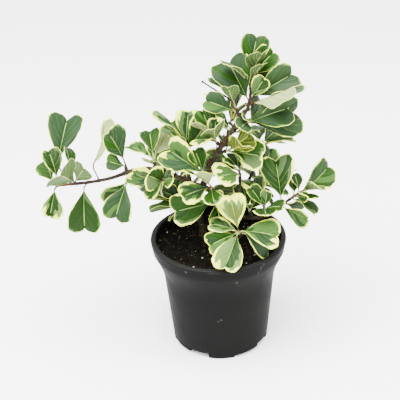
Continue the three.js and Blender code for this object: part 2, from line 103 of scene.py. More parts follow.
POT_HEIGHT = 104.0
LIP_RADIUS = 60.0
LIP_WIDTH = 4.6
LIP_DEPTH = 6.5
FOOT_RADIUS = 42.9
FLARE = ((49.2, 66.0), (50.6, 78.0), (54.5, 84.0), (58.6, 93.5))
WALL = 1.4
FLOOR = 5.6
MIX_LEVEL = 96.0

SIDE = ((0.0, 0.0), (0.2, 0.08), (0.42, 0.98), (0.74, 1.0))
TOP = ((0.74, 1.0), (0.98, 1.04), (1.06, 0.42), (0.95, 0.0))
SIDE_SHARE = 0.6
RIB = 0.78
WAVE = 0.055
NOTCH = (26.0, 46.0, 0.17)
WIDTH: Pair = (0.75, 0.98)
FOLD: Pair = (8.0, 24.0)
BEND: Pair = (4.0, 40.0)
# Columns and rows of the points that test a leaf's room, and those of them beyond the leaf's foot
PROBES = (0, 0.35, -0.35, 0.7, -0.7, 1, -1)
PROBE_ROWS = 7
OUTER = slice(3 * len(PROBES), None)
POT_ROOM = 2.0
STEM_ROOM = 1.0
LIMB_ROOM = 2.0
OWN_ROOM = 3.0
OTHER_ROOM = 4.4
TRIES = 9
SWING = 12.0
GOLDEN = 137.5
FIRST_SPIRAL = 500
FIRST_YOUNG = 900
# Only here: number and size of the young leaves of a sprig, and the sprigs that have none
YOUNG = 4
YOUNG_SIZE: Pair = (0.8, 0.46)
SPARSE = ("front", "left_end", "left_under", "left_top")
# Thin leafless stalk at a sprig's tip: hour, lean and length
BARE = {"top_left": (10.25, -6.0, 34.0)}
# Leaves aimed otherwise than in the part, by sprig and place
TURNED = {
    ("middle_left", 2): (0.6, 5, 10.4, 30, 27, 105),
    ("middle_right", 0): (1, 3, 2.0, 32, 29, 150),
    ("top_right", 0): (1, 5, 2.3, 30, 40, -15),
    ("left_end", 2): (0.8, 23, 12.35, -4, 47, 0),
}
# Leaves that the part doesn't have
FINER = {
    "front": ((0.6, 4, 8.3, 14, 27, 10),),
    "top": ((0.18, 6, 2.6, 34, 48, 107), (0.92, 3, 1.5, 14, 29, -10)),
}


def unit(v: np.ndarray) -> np.ndarray:
    """Vector of length one."""
    return v / np.linalg.norm(v)


def square(v: np.ndarray, axis: np.ndarray) -> np.ndarray:
    """Unit part of `v` square to the unit vector `axis`."""
    return unit(v - axis * float(v @ axis))


def turned(v: np.ndarray, axis: np.ndarray, angle: float) -> np.ndarray:
    """`v` turned about a unit axis by an angle in radians."""
    c, s = math.cos(angle), math.sin(angle)
    return v * c + np.cross(axis, v) * s + axis * float(axis @ v) * (1 - c)


def lerp(low: float, high: float, t: float) -> float:
    """Value at a share of the way from `low` to `high`."""
    return (1 - t) * low + t * high


def cubic(points: Sequence, t: np.ndarray) -> np.ndarray:
    """Points of a cubic Bezier.

    Args:
        points: its four points.
        t: shares of the way along it.

    Returns:
        One row for each share.
    """
    t = np.asarray(t, float)[..., None]
    u = 1 - t
    a, b, c, d = (np.asarray(p, float) for p in points)
    return a * u**3 + b * (3 * u * u * t) + c * (3 * u * t * t) + d * t**3


def pick(rng: np.random.Generator, shares: dict[str, float]) -> str:
    """One of some names, each as likely as its share."""
    return str(rng.choice(list(shares), p=list(shares.values())))


def aim(hour: float, lean: float) -> np.ndarray:
    """Direction on the face that looks to the light.

    Args:
        hour: its hour on a clock face.
        lean: degrees that it leans out to the light.

    Returns:
        A unit vector.
    """
    turn, tilt = math.radians(hour * 30), math.radians(lean)
    flat = math.cos(tilt)
    return RIGHT * (math.sin(turn) * flat) + RISE * (math.cos(turn) * flat) + LIGHT * math.sin(tilt)


class Dice:
    """Repeatable random numbers, drawn in the same order as in the part."""

    FACTOR = 1664525
    STEP = 1013904223
    RANGE = 2**32

    def __init__(self, seed: int) -> None:
        """Starts from a whole number."""
        self.state = seed

    def __call__(self, low: float, high: float) -> float:
        """Next number between `low` and `high`."""
        self.state = (self.state * self.FACTOR + self.STEP) % self.RANGE
        return lerp(low, high, self.state / self.RANGE)


@dataclass(frozen=True)
class Limb:
    """A tapering round limb or stem along a cubic curve."""

    points: tuple
    radius: Pair
    flare: float = 0.0

    def at(self, t: float) -> np.ndarray:
        """Point of its axis."""
        return cubic(self.points, t)

    def tangent(self, t: float) -> np.ndarray:
        """Unit direction of its axis."""
        return unit(self.at(min(t + 1e-4, 1)) - self.at(max(t - 1e-4, 0)))

    def radius_at(self, t: np.ndarray) -> np.ndarray:
        """Radius of its bark."""
        return (1 - t) * self.radius[0] + t * self.radius[1] + self.flare * np.exp(-14 * np.asarray(t))

    def leave(self, share: float, towards: np.ndarray) -> tuple[np.ndarray, np.ndarray]:
        """First point and direction of what grows from it.

        Args:
            share: share of its length.
            towards: rough direction of the new growth.

        Returns:
            A point just off its bark or tip, and a unit direction.
        """
        along = self.tangent(share)
        if share == 1:
            return self.at(1) + along * CLEAR, along
        out = square(towards, along)
        return self.at(share) + out * (float(self.radius_at(share)) + CLEAR), out

    def axis(self) -> tuple[np.ndarray, np.ndarray]:
        """Axis points with the radius at each."""
        t = np.arange(25) / 24
        return cubic(self.points, t), self.radius_at(t)


@dataclass(frozen=True)
class LimbPlan:
    """Where a limb starts, its later points and its radii."""

    curve: tuple
    radius: Pair
    flare: float = 0.0
    foot: Pair | None = None
    parent: str = ""
    share: float = 0.0


LIMBS = {
    "main_stem": LimbPlan(((10.8, 20, 120), (6, 0, 146), (-15.4, -4, 156)), (3.4, 2.4), 1.5, (10.8, 20)),
    "back_stem": LimbPlan(((-13.7, 13, 118), (-24, 20, 140), (-26, 14, 171)), (2.7, 1.6), 1.1, (-13.7, 13)),
    "left_bough": LimbPlan(
        ((-32, -7, 165), (-50, -10, 186), (-78, -12, 174.5)), (2.2, 1.6), parent="main_stem", share=1),
    "upper_bough": LimbPlan(
        ((-18, 0, 168), (0, 6, 184), (25, 14, 215)), (2.5, 2.1), parent="main_stem", share=0.95),
    "right_bough": LimbPlan(
        ((24, 8, 118), (38, -8, 120), (51.5, -8, 133.5)), (1.8, 1.4), parent="main_stem", share=0.28),
    "front_bough": LimbPlan(
        ((14, 6, 106), (17, -20, 106), (18.8, -31, 122)), (1.6, 1.2), parent="main_stem", share=0.16),
    "centre_bough": LimbPlan(
        ((17, 4, 134), (20, 5, 144), (20, 5, 156)), (1.7, 1.2), parent="main_stem", share=0.5),
    "back_bough": LimbPlan(
        ((22, 30, 134), (34, 32, 146), (38, 28, 168)), (1.8, 1.3), parent="main_stem", share=0.36),
}


@dataclass(frozen=True)
class SprigPlan:
    """A sprig: limb and share, stem (hour, lean, length), seed, further leaves, reach, aimed leaves.

    A leaf is a row of share along the stem, petiole, hour, lean, blade length and roll.
    """

    limb: str
    share: float
    stem: tuple[float, float, float]
    seed: int
    more: int
    reach: float
    leaves: tuple = ()


SPRIGS = {
    "front": SprigPlan("front_bough", 1, (11, 45, 4), 5, 0, 56, (
        (1, 4, 11.6, 12, 31, 0), (0.8, 4, 3.1, 15, 33, -30), (0.5, 4, 3.85, 5, 31, 0),
        (0.7, 5, 6.75, 27, 37, 0), (0.4, 4, 9.9, 10, 26, 40))),
    "rim_left": SprigPlan("main_stem", 0.7, (7, 30, 3), 6, 0, 50, ((1, 3, 8.5, 18, 38, -10),)),
    "fork": SprigPlan("upper_bough", 0.2, (10, 80, 11), 7, 0, 56, ((1, 2, 10.15, 16, 40, -5),)),
    "fork_front": SprigPlan("main_stem", 0.88, (11.3, 80, 15), 8, 0, 44, ((1, 3, 10.7, 12, 30, 125),)),
    "left_end": SprigPlan("left_bough", 1, (8.85, 0, 57), 11, 2, 84, (
        (0.39, 16, 12.95, -5, 42, 120), (0.56, 6, 6.05, 5, 41, 0), (0.8, 29, 12.35, -4, 41, 0),
        (0.91, 9, 11.7, 14, 26, 25), (0.8, 7, 12.5, 4, 26, 75), (0.72, 4, 1.5, 50, 24, 180),
        (1, 5, 6.3, 10, 25, -30))),
    "left_top": SprigPlan("left_bough", 0.97, (11.8, 5, 4), 32, 0, 46, (
        (1, 6, 11.2, 0, 31, 40), (0.5, 2, 9.6, 35, 18, 20))),
    "left_under": SprigPlan("left_bough", 0.97, (6.2, 10, 3), 12, 1, 46, ((1, 6, 6.7, 15, 34, 10),)),
    "bough_under": SprigPlan("left_bough", 0.5, (6.6, 15, 3), 13, 1, 44, (
        (1, 3, 8.9, 5, 33, -62), (0.8, 3, 7.8, -10, 24, -20))),
    "mid_left": SprigPlan("left_bough", 0.66, (11.8, 10, 4), 14, 1, 50, (
        (1, 7, 11.7, 5, 28, 0), (0.9, 10, 12.9, -10, 28, 170))),
    "centre": SprigPlan("centre_bough", 1, (12, 5, 6), 15, 1, 50, (
        (1, 4, 9.6, 5, 35, 15), (0.4, 4, 9.2, 48, 29, 40), (0.1, 3, 11.3, 30, 22, 0),
        (0.9, 5, 12.9, -20, 32, 0))),
    "right_low": SprigPlan("right_bough", 0.8, (12, 62, 10), 17, 0, 50, ((1, 7, 11.35, 8, 33, 5),)),
    "right_dark": SprigPlan("right_bough", 0.45, (11.5, 20, 5), 30, 0, 44, (
        (1, 3, 11.6, 5, 25, 0), (0.7, 3, 1.2, 0, 23, 0))),
    "right_end": SprigPlan("right_bough", 1, (1.9, 0, 22), 16, 1, 56, (
        (1, 4, 1.9, 5, 37, 30), (0.05, 9, 11.8, 0, 38, 0), (0.1, 4, 4, 20, 26, 55),
        (0.75, 3, 3.2, 30, 12, 0), (0.2, 4, 2.8, -25, 22, 60))),
    "top": SprigPlan("upper_bough", 1, (12, -5, 32), 18, 4, 60, (
        (0.25, 5, 11.1, 8, 41, -8), (0.36, 5, 12.7, 2, 41, 10), (0.33, 6, 2.05, 5, 42, 5),
        (0.3, 5, 1.2, 28, 22, 0), (1, 4, 12.4, 0, 32, 0))),
    "top_right": SprigPlan("upper_bough", 0.93, (3, 15, 4), 19, 1, 56, (
        (1, 5, 2.3, 30, 40, 165), (0.8, 5, 2.65, 6, 45, 25))),
    "top_left": SprigPlan("upper_bough", 0.97, (11.5, 5, 10), 20, 1, 48, (
        (1, 14, 10.9, 0, 25, 0), (0.2, 4, 9.7, 8, 28, 20), (0.1, 14, 10.1, -20, 24, 80))),
    "middle_left": SprigPlan("upper_bough", 0.66, (10.3, 15, 3), 21, 1, 44, (
        (1, 4, 11.3, 0, 28, 10), (0.8, 3, 12, 28, 21, 0), (0.6, 4, 9.9, -8, 26, 170))),
    "middle_right": SprigPlan("upper_bough", 0.6, (2.5, -10, 4), 22, 2, 46, (
        (1, 3, 2.2, 0, 27, 150), (0.9, 4, 3.4, -5, 32, 0))),
    "back_left": SprigPlan("back_stem", 1, (12, -5, 12), 23, 3, 54, (
        (0.9, 6, 10.9, 0, 31, 0), (1, 4, 12.2, 0, 30, 0), (0.5, 5, 1.3, 10, 34, 0),
        (0.4, 5, 10, 8, 30, 160))),
    "back_right": SprigPlan("back_bough", 1, (12.5, -10, 10), 24, 3, 52, (
        (1, 5, 12.6, 0, 34, 0), (0.8, 5, 1.5, 0, 32, 0))),
    "back_low": SprigPlan("back_stem", 0.45, (8.5, -55, 16), 25, 6, 54),
    "back_high": SprigPlan("upper_bough", 0.72, (1, -45, 20), 26, 6, 54),
    "back_mid": SprigPlan("back_bough", 0.5, (3.5, -55, 16), 27, 6, 54),
    "back_side": SprigPlan("back_stem", 0.78, (9.4, -48, 18), 28, 5, 54),
    "back_top": SprigPlan("upper_bough", 0.86, (11, -72, 22), 29, 5, 54),
}


@dataclass
class Leaf:
    """A leaf: start of its petiole, frame of its blade, sizes and curl."""

    start: np.ndarray
    base: np.ndarray
    along: np.ndarray
    face: np.ndarray
    length: float
    notch: float
    width: float
    fold: float
    bend: float
    phase: float
    across: np.ndarray = field(init=False)

    def __post_init__(self) -> None:
        """Works out its third direction."""
        self.across = np.cross(self.along, self.face)

    def outline(self, t: np.ndarray) -> tuple[np.ndarray, np.ndarray]:
        """Half outline of the blade.

        Args:
            t: shares of the way from its foot to the middle of its tip.

        Returns:
            Distances along it and out to the side, as shares of length and half width.
        """
        top = (*TOP[:3], (TOP[3][0] - self.notch, TOP[3][1]))
        low = cubic(SIDE, np.minimum(t, SIDE_SHARE) / SIDE_SHARE)
        high = cubic(top, np.maximum(t - SIDE_SHARE, 0) / (1 - SIDE_SHARE))
        both = np.where((t < SIDE_SHARE)[..., None], low, high)
        return both[..., 0], both[..., 1]

    def blade(self, across: np.ndarray, t: np.ndarray, up: np.ndarray) -> np.ndarray:
        """Points of the blade.

        Args:
            across: -1 at one edge, 0 at the rib, 1 at the other edge.
            t: shares of the way from foot to tip.
            up: heights over the middle of its thickness.

        Returns:
            One row of three for each point.
        """
        reach = np.abs(across)
        a, b = self.outline(t)
        rib = min(RIB, TOP[3][0] - self.notch) * t
        along = ((1 - reach) * rib + reach * a) * self.length
        half = across * b * self.width / 2
        wave = np.sin(self.phase + 9 * t + 2 * np.sign(across))
        ripple = WAVE * self.length * reach**2 * b * (1 - t) * wave
        rise = np.abs(half) * math.sin(self.fold) + ripple + up
        turn = self.bend * along / self.length
        arc = self.length / self.bend
        return (
            self.base
            + self.along * ((arc + rise) * np.sin(turn))[..., None]
            + self.across * (half * math.cos(self.fold))[..., None]
            + self.face * (rise * np.cos(turn) - arc * (1 - np.cos(turn)))[..., None]
        )

    def probes(self) -> tuple[np.ndarray, np.ndarray]:
        """Points that keep it clear of its neighbours.

        Returns:
            Points of the blade, row by row from its foot, and three of the petiole.
        """
        across = np.tile(PROBES, PROBE_ROWS)
        t = np.repeat(np.arange(1, PROBE_ROWS + 1) / PROBE_ROWS, len(PROBES))
        stalk = np.array([self.start + (self.base - self.start) * s for s in (0.4, 0.7, 1)])
        return self.blade(across, t, np.zeros(len(t))), stalk


def new_leaf(start: np.ndarray, stemwards: np.ndarray, along: np.ndarray, face: np.ndarray,
             petiole: float, length: float, dice: Dice) -> Leaf:
    """A leaf on its stem.

    Args:
        start: where its petiole leaves the stem.
        stemwards: direction of the stem there.
        along: direction of the blade.
        face: direction that the upper side looks to.
        petiole: length of the petiole.
        length: length of the blade.
        dice: random numbers for notch, width, fold, bend and phase, in this order.

    Returns:
        The leaf.
    """
    first, last, most = NOTCH
    depth = min(max((length - first) / (last - first), 0.1), 1)
    return Leaf(
        start=start, base=start + unit(along + stemwards * 0.7) * petiole, along=along, face=face,
        length=length, notch=most * depth * dice(0.4, 1), width=length * dice(*WIDTH),
        fold=math.radians(dice(*FOLD)), bend=math.radians(dice(*BEND)), phase=dice(0, 2 * math.pi),
    )


@dataclass
class Sprig:
    """A sprig with its stem and the leaves that found room."""

    name: str
    plan: SprigPlan
    stem: Limb
    leaves: dict[int, Leaf] = field(default_factory=dict)

    def aimed(self, row: tuple, swing: float, dice: Dice) -> Leaf:
        """Leaf of a row of the plan.

        Args:
            row: share along the stem, petiole, hour, lean, blade length and roll.
            swing: degrees that it is swung to or from the light.
            dice: random numbers.

        Returns:
            The leaf.
        """
        share, petiole, hour, lean, length, roll = row
        along = aim(hour, lean + swing)
        face = turned(square(LIGHT, along), along, math.radians(roll))
        return new_leaf(self.stem.at(share), self.stem.tangent(share), along, face, petiole, length, dice)

    def spiral(self, turn: float, share: float, swing: float, dice: Dice, size: float = 1.0) -> Leaf:
        """Next leaf of the spiral round the stem.

        Args:
            turn: degrees round the stem.
            share: share along the stem.
            swing: how far it is turned on to find room.
            dice: random numbers.
            size: size against a grown leaf.

        Returns:
            The leaf.
        """
        axis = self.stem.tangent(share)
        side = turned(square(RIGHT, axis), axis, math.radians(turn + 3 * swing))
        spread = math.radians(dice(45, 80))
        along = unit(axis * math.cos(spread) + side * math.sin(spread) + UP * 0.3)
        face = square(axis * 0.6 + UP * 0.7 + LIGHT * 0.25, along)
        petiole = dice(4, 8)
        length = dice(25, 38)
        return new_leaf(self.stem.at(share), axis, along, face, petiole * size, length * size, dice)


class Grower:
    """Grows limbs, sprigs and leaves, and keeps leaves clear of each other, limbs, pot and mix."""

    def __init__(self) -> None:
        """Grows limbs, aimed leaves and spirals as the part does, then finer and young leaves."""
        self.limbs = self.grow_limbs()
        self.sprigs = [self.sprig(name, plan) for name, plan in SPRIGS.items()]
        self.placed: dict[tuple[str, int], tuple] = {}
        stems = [(sprig.stem, *sprig.stem.axis()) for sprig in self.sprigs]
        self.obstacles = [(None, *limb.axis()) for limb in self.limbs.values()] + stems
        for sprig in self.sprigs:
            for i, row in enumerate(sprig.plan.leaves):
                self.settle(sprig, i, lambda swing, dice: sprig.aimed(row, swing, dice))
        for sprig in self.sprigs:
            plan = sprig.plan
            for i in range(plan.more):
                share = lerp(0.35, 1, (i + 1) / plan.more)
                turn = GOLDEN * i + plan.seed * 41
                place = FIRST_SPIRAL + i
                self.settle(sprig, place, lambda swing, dice: sprig.spiral(turn, share, swing, dice))
        for sprig in self.sprigs:
            rows = {place: row for (name, place), row in TURNED.items() if name == sprig.name}
            rows |= {len(sprig.plan.leaves) + i: row for i, row in enumerate(FINER.get(sprig.name, ()))}
            for place, row in rows.items():
                self.keep(sprig, place, sprig.aimed(row, 0, Dice(sprig.plan.seed * 1000 + place)))
        for sprig in self.sprigs:
            for i in range(0 if sprig.name in SPARSE else YOUNG):
                share = lerp(0.5, 1, (i + 1) / YOUNG)
                turn = GOLDEN * i + sprig.plan.seed * 67
                size = lerp(*YOUNG_SIZE, i / YOUNG)
                place = FIRST_YOUNG + i
                self.settle(sprig, place, lambda swing, dice: sprig.spiral(turn, share, swing, dice, size))

    @staticmethod
    def grow_limbs() -> dict[str, Limb]:
        """Grows the stems and boughs.

        Returns:
            All limbs by name, in their order of growth.
        """
        grown: dict[str, Limb] = {}
        for name, plan in LIMBS.items():
            second, third, tip = (np.array(p, float) for p in plan.curve)
            if plan.foot:
                start = np.array([*plan.foot, MIX_LEVEL + CLEAR])
            else:
                parent = grown[plan.parent]
                start, out = parent.leave(plan.share, second - parent.at(plan.share))
                second = start + out * np.linalg.norm(second - start)
            grown[name] = Limb((start, second, third, tip), plan.radius, plan.flare)
        return grown

    def sprig(self, name: str, plan: SprigPlan) -> Sprig:
        """Grows a sprig's stem on its limb.

        Args:
            name: name of the sprig.
            plan: its plan.

        Returns:
            The sprig, still without leaves.
        """
        hour, lean, length = plan.stem
        towards = aim(hour, lean)
        start, out = self.limbs[plan.limb].leave(plan.share, towards)
        tip = start + unit(out * 0.25 + towards * 0.75) * length
        points = (start, start + out * (length / 3), tip - towards * (length / 3), tip)
        return Sprig(name, plan, Limb(points, (1.3, 0.9)))

    @staticmethod
    def in_pot(points: np.ndarray) -> bool:
        """Whether any point comes too near to the pot or the mix.

        Args:
            points: the points.

        Returns:
            True where one does.
        """
        r, z = np.hypot(points[:, 0], points[:, 1]), points[:, 2]
        inside = (z < MIX_LEVEL + POT_ROOM) & (r < LIP_RADIUS + POT_ROOM)
        from_lip = np.abs(r - LIP_RADIUS + LIP_WIDTH / 2) - LIP_WIDTH / 2
        return bool((inside | ((z < POT_HEIGHT + POT_ROOM) & (from_lip < POT_ROOM))).any())

    @staticmethod
    def near(points: np.ndarray, others: np.ndarray, room: np.ndarray | float) -> bool:
        """Whether any point lies within `room` of any other."""
        gap = np.linalg.norm(points[:, None] - others[None], axis=2)
        return bool((gap < room).any())

    def has_room(self, leaf: Leaf, sprig: Sprig) -> bool:
        """Whether a leaf keeps clear of pot, limbs, stems and all leaves placed before it.

        Args:
            leaf: the leaf.
            sprig: the sprig that it grows on.

        Returns:
            True where it does, and stays within the sprig's reach.
        """
        blade, stalk = leaf.probes()
        outer, everything = blade[OUTER], np.vstack([blade, stalk])
        far = np.linalg.norm(blade - sprig.stem.at(0.5), axis=1)
        if (far > sprig.plan.reach).any() or self.in_pot(blade):
            return False
        for owner, points, radius in self.obstacles:
            own = owner is sprig.stem
            tested = outer if own else np.vstack([blade, stalk[1:]])
            if self.near(tested, points, radius + (STEM_ROOM if own else LIMB_ROOM)):
                return False
        for stem, other_outer, other_all in self.placed.values():
            if stem is sprig.stem:
                if self.near(outer, other_outer, OWN_ROOM):
                    return False
            elif self.near(everything, other_all, OTHER_ROOM):
                return False
        return True

    def keep(self, sprig: Sprig, place: int, leaf: Leaf) -> None:
        """Adds a leaf, or puts it in the place of an earlier one.

        Args:
            sprig: the sprig that it grows on.
            place: its own number within the sprig.
            leaf: the leaf.
        """
        blade, stalk = leaf.probes()
        self.placed[sprig.name, place] = (sprig.stem, blade[OUTER], np.vstack([blade, stalk]))
        sprig.leaves[place] = leaf

    def settle(self, sprig: Sprig, place: int, make: Callable[[float, Dice], Leaf]) -> None:
        """Keeps the first leaf that finds room at growing swings to either side.

        Args:
            sprig: the sprig that it grows on.
            place: its own number within the sprig, for its random numbers and colours.
            make: gives the leaf for a swing in degrees and random numbers.
        """
        for i in range(TRIES):
            swing = SWING * math.ceil(i / 2) * (1 if i % 2 else -1)
            leaf = make(swing, Dice(sprig.plan.seed * 1000 + place))
            if self.has_room(leaf, sprig):
                self.keep(sprig, place, leaf)
                return


# Finishes

@dataclass(frozen=True)
class Finish:
    """A finish of one plain colour, with a drifting roughness and a fine relief."""

    colour: Colour
    roughness: Pair
    grain: float
    depth: float
    specular: float
    coat: float = 0.0


def family(colours: dict[str, Colour], *surface: Pair | float) -> dict[str, Finish]:
    """Finishes that differ only in their colour."""
    return {name: Finish(colour, *surface) for name, colour in colours.items()}


FINISHES = {
    **family({
        "deep green": (0.0068, 0.023, 0.002), "leaf green": (0.0093, 0.0345, 0.0018),
    }, (0.36, 0.5), 700, 0.00003, 0.06, 0.03),
    **family({
        "blue green": (0.0112, 0.029, 0.0088), "slate green": (0.019, 0.041, 0.014),
    }, (0.38, 0.52), 700, 0.00003, 0.06, 0.03),
    **family({
        "soft green": (0.033, 0.082, 0.014), "grey green": (0.049, 0.09, 0.026),
        "sage green": (0.08, 0.145, 0.034), "olive": (0.062, 0.085, 0.013),
    }, (0.42, 0.56), 700, 0.00003, 0.06),
    **family({
        "ivory": (0.76, 0.82, 0.12), "cream": (0.66, 0.74, 0.06), "lime cream": (0.45, 0.56, 0.035),
    }, (0.42, 0.58), 700, 0.00003, 0.08),
    **family({
        "shaded back": (0.068, 0.108, 0.038), "shaded edge": (0.38, 0.44, 0.12),
        "brown rib": (0.07, 0.045, 0.02), "underside green": (0.22, 0.27, 0.1),
        "underside cream": (0.48, 0.53, 0.17),
    }, (0.6, 0.75), 1100, 0.00004, 0.06),
    "pale vein": Finish((0.2, 0.3, 0.08), (0.45, 0.6), 700, 0.00003, 0.08),
    "green vein": Finish((0.026, 0.056, 0.012), (0.45, 0.6), 700, 0.00003, 0.06),
    "brown shoot": Finish((0.016, 0.01, 0.007), (0.55, 0.72), 1500, 0.0001, 0.08),
    "red shoot": Finish((0.045, 0.018, 0.01), (0.5, 0.65), 1500, 0.00008, 0.08),
    "green shoot": Finish((0.06, 0.07, 0.02), (0.5, 0.62), 1500, 0.00005, 0.08),
    "pale petiole": Finish((0.2, 0.23, 0.07), (0.48, 0.6), 1500, 0.00004, 0.08),
    "dry scale": Finish((0.04, 0.038, 0.017), (0.6, 0.75), 1500, 0.0001, 0.08),
    "bud": Finish((0.12, 0.1, 0.035), (0.42, 0.55), 1500, 0.00003, 0.08),
    "dry tip": Finish((0.012, 0.008, 0.006), (0.7, 0.85), 1500, 0.0001, 0.08),
    "perlite": Finish((0.24, 0.22, 0.17), (0.8, 0.95), 2500, 0.0002, 0.1),
    "bark chip": Finish((0.0095, 0.0062, 0.0034), (0.75, 0.92), 1400, 0.0002, 0.08),
    "dark chip": Finish((0.0027, 0.0022, 0.0012), (0.7, 0.9), 1400, 0.0002, 0.06),
    "straw": Finish((0.05, 0.032, 0.015), (0.7, 0.85), 1400, 0.0001, 0.1),
    "moss bit": Finish((0.03, 0.045, 0.01), (0.7, 0.85), 1400, 0.0001, 0.1),
    "amber bead": Finish((0.08, 0.035, 0.008), (0.35, 0.5), 1400, 0.00005, 0.15),
}
SMOOTH_PLASTIC = Finish((0.0047, 0.0048, 0.0048), (0.42, 0.54), 1600, 0.00003, 0.014)
# Lighter plastic for the top of the lip: a painted highlight that stands in for the light from above
PAINTED_HIGHLIGHT_PLASTIC = Finish((0.0088, 0.0088, 0.0085), (0.34, 0.48), 1600, 0.00003, 0.04)
MOIST_MIX = Finish((0.0017, 0.0014, 0.0008), (0.75, 0.95), 1300, 0.0006, 0.04)
YOUNG_BARK = Finish((0.026, 0.021, 0.0115), (0.65, 0.85), 1500, 0.0002, 0.08)


@dataclass
class Wiring:
    """A node tree, with short ways to add nodes and join them."""

    tree: bpy.types.NodeTree

    @classmethod
    def group(cls, name: str, kind: str, inputs: dict[str, float | str]) -> tuple["Wiring", Sockets]:
        """Starts a node group.

        Args:
            name: name of the group.
            kind: type of its tree.
            inputs: its inputs, each with the usual value of a number, or with the type of its socket.

        Returns:
            The wiring of the group, and the sockets that give its inputs.
        """
        wires = cls(bpy.data.node_groups.new(name, kind))
        for label, given in inputs.items():
            type_of = given if isinstance(given, str) else "NodeSocketFloat"
            socket = wires.tree.interface.new_socket(label, in_out="INPUT", socket_type=type_of)
            if type_of != given:
                socket.default_value = given
        return wires, wires.add("NodeGroupInput")

    def put_out(self, label: str, kind: str, result: bpy.types.NodeSocket) -> bpy.types.NodeTree:
        """Gives a group its one output, and ends it.

        Args:
            label: name of the output.
            kind: type of its socket.
            result: what it puts out.

        Returns:
            The finished group.
        """
        self.tree.interface.new_socket(label, in_out="OUTPUT", socket_type=kind)
        self.add("NodeGroupOutput", {label: result})
        return self.tree

    def feed(self, node: bpy.types.Node, feeds: dict[str | int, Feed]) -> None:
        """Sets inputs of a node to plain values, or joins them to sockets.

        Args:
            node: the node.
            feeds: a value or a socket for each input, by its name or number.
        """
        for key, value in feeds.items():
            if isinstance(value, bpy.types.NodeSocket):
                self.tree.links.new(value, node.inputs[key])
            else:
                node.inputs[key].default_value = value

    def add(self, kind: str, feeds: dict[str | int, Feed] | None = None, **settings: object) -> Sockets:
        """Adds a node.

        Args:
            kind: its type.
            feeds: plain values and sockets for its inputs.
            settings: its other settings.

        Returns:
            Its outputs.
        """
        node = self.tree.nodes.new(kind)
        for key, value in settings.items():
            setattr(node, key, value)
        self.feed(node, feeds or {})
        return node.outputs

    def use(self, group: bpy.types.NodeTree, **values: float) -> Sockets:
        """Adds a shared group with its inputs set by name, and gives its outputs."""
        feeds = {label.capitalize(): value for label, value in values.items()}
        return self.add("ShaderNodeGroup", feeds, node_tree=group)

    def place(self) -> bpy.types.NodeSocket:
        """Place in the object's own space."""
        return self.add("ShaderNodeTexCoord")["Object"]

    def maths(self, operation: str, first: Feed, second: Feed) -> bpy.types.NodeSocket:
        """Result of a sum with two numbers."""
        return self.add("ShaderNodeMath", {0: first, 1: second}, operation=operation)["Value"]

    def minus(self, vector: Feed, other: Feed) -> bpy.types.NodeSocket:
        """Difference of two vectors."""
        return self.add("ShaderNodeVectorMath", {0: vector, 1: other}, operation="SUBTRACT")["Vector"]

    def times(self, vector: Feed, by: Feed) -> bpy.types.NodeSocket:
        """A vector scaled by a number."""
        return self.add("ShaderNodeVectorMath", {0: vector, "Scale": by}, operation="SCALE")["Vector"]

    def stretched(self, place: bpy.types.NodeSocket, by: bpy.types.NodeSocket) -> bpy.types.NodeSocket:
        """Squeezes a place, so that a pattern on it grows tall.

        Args:
            place: the place.
            by: how many times taller the pattern gets.

        Returns:
            The place with its height divided.
        """
        parts = self.add("ShaderNodeSeparateXYZ", {"Vector": place})
        height = self.maths("DIVIDE", parts["Z"], by)
        return self.add("ShaderNodeCombineXYZ", {"X": parts["X"], "Y": parts["Y"], "Z": height})["Vector"]

    def clouds(self, place: bpy.types.NodeSocket, scale: Feed, detail: float) -> bpy.types.NodeSocket:
        """Soft noise at a place, with `detail` finer layers."""
        return self.add("ShaderNodeTexNoise", {"Vector": place, "Scale": scale, "Detail": detail})["Fac"]


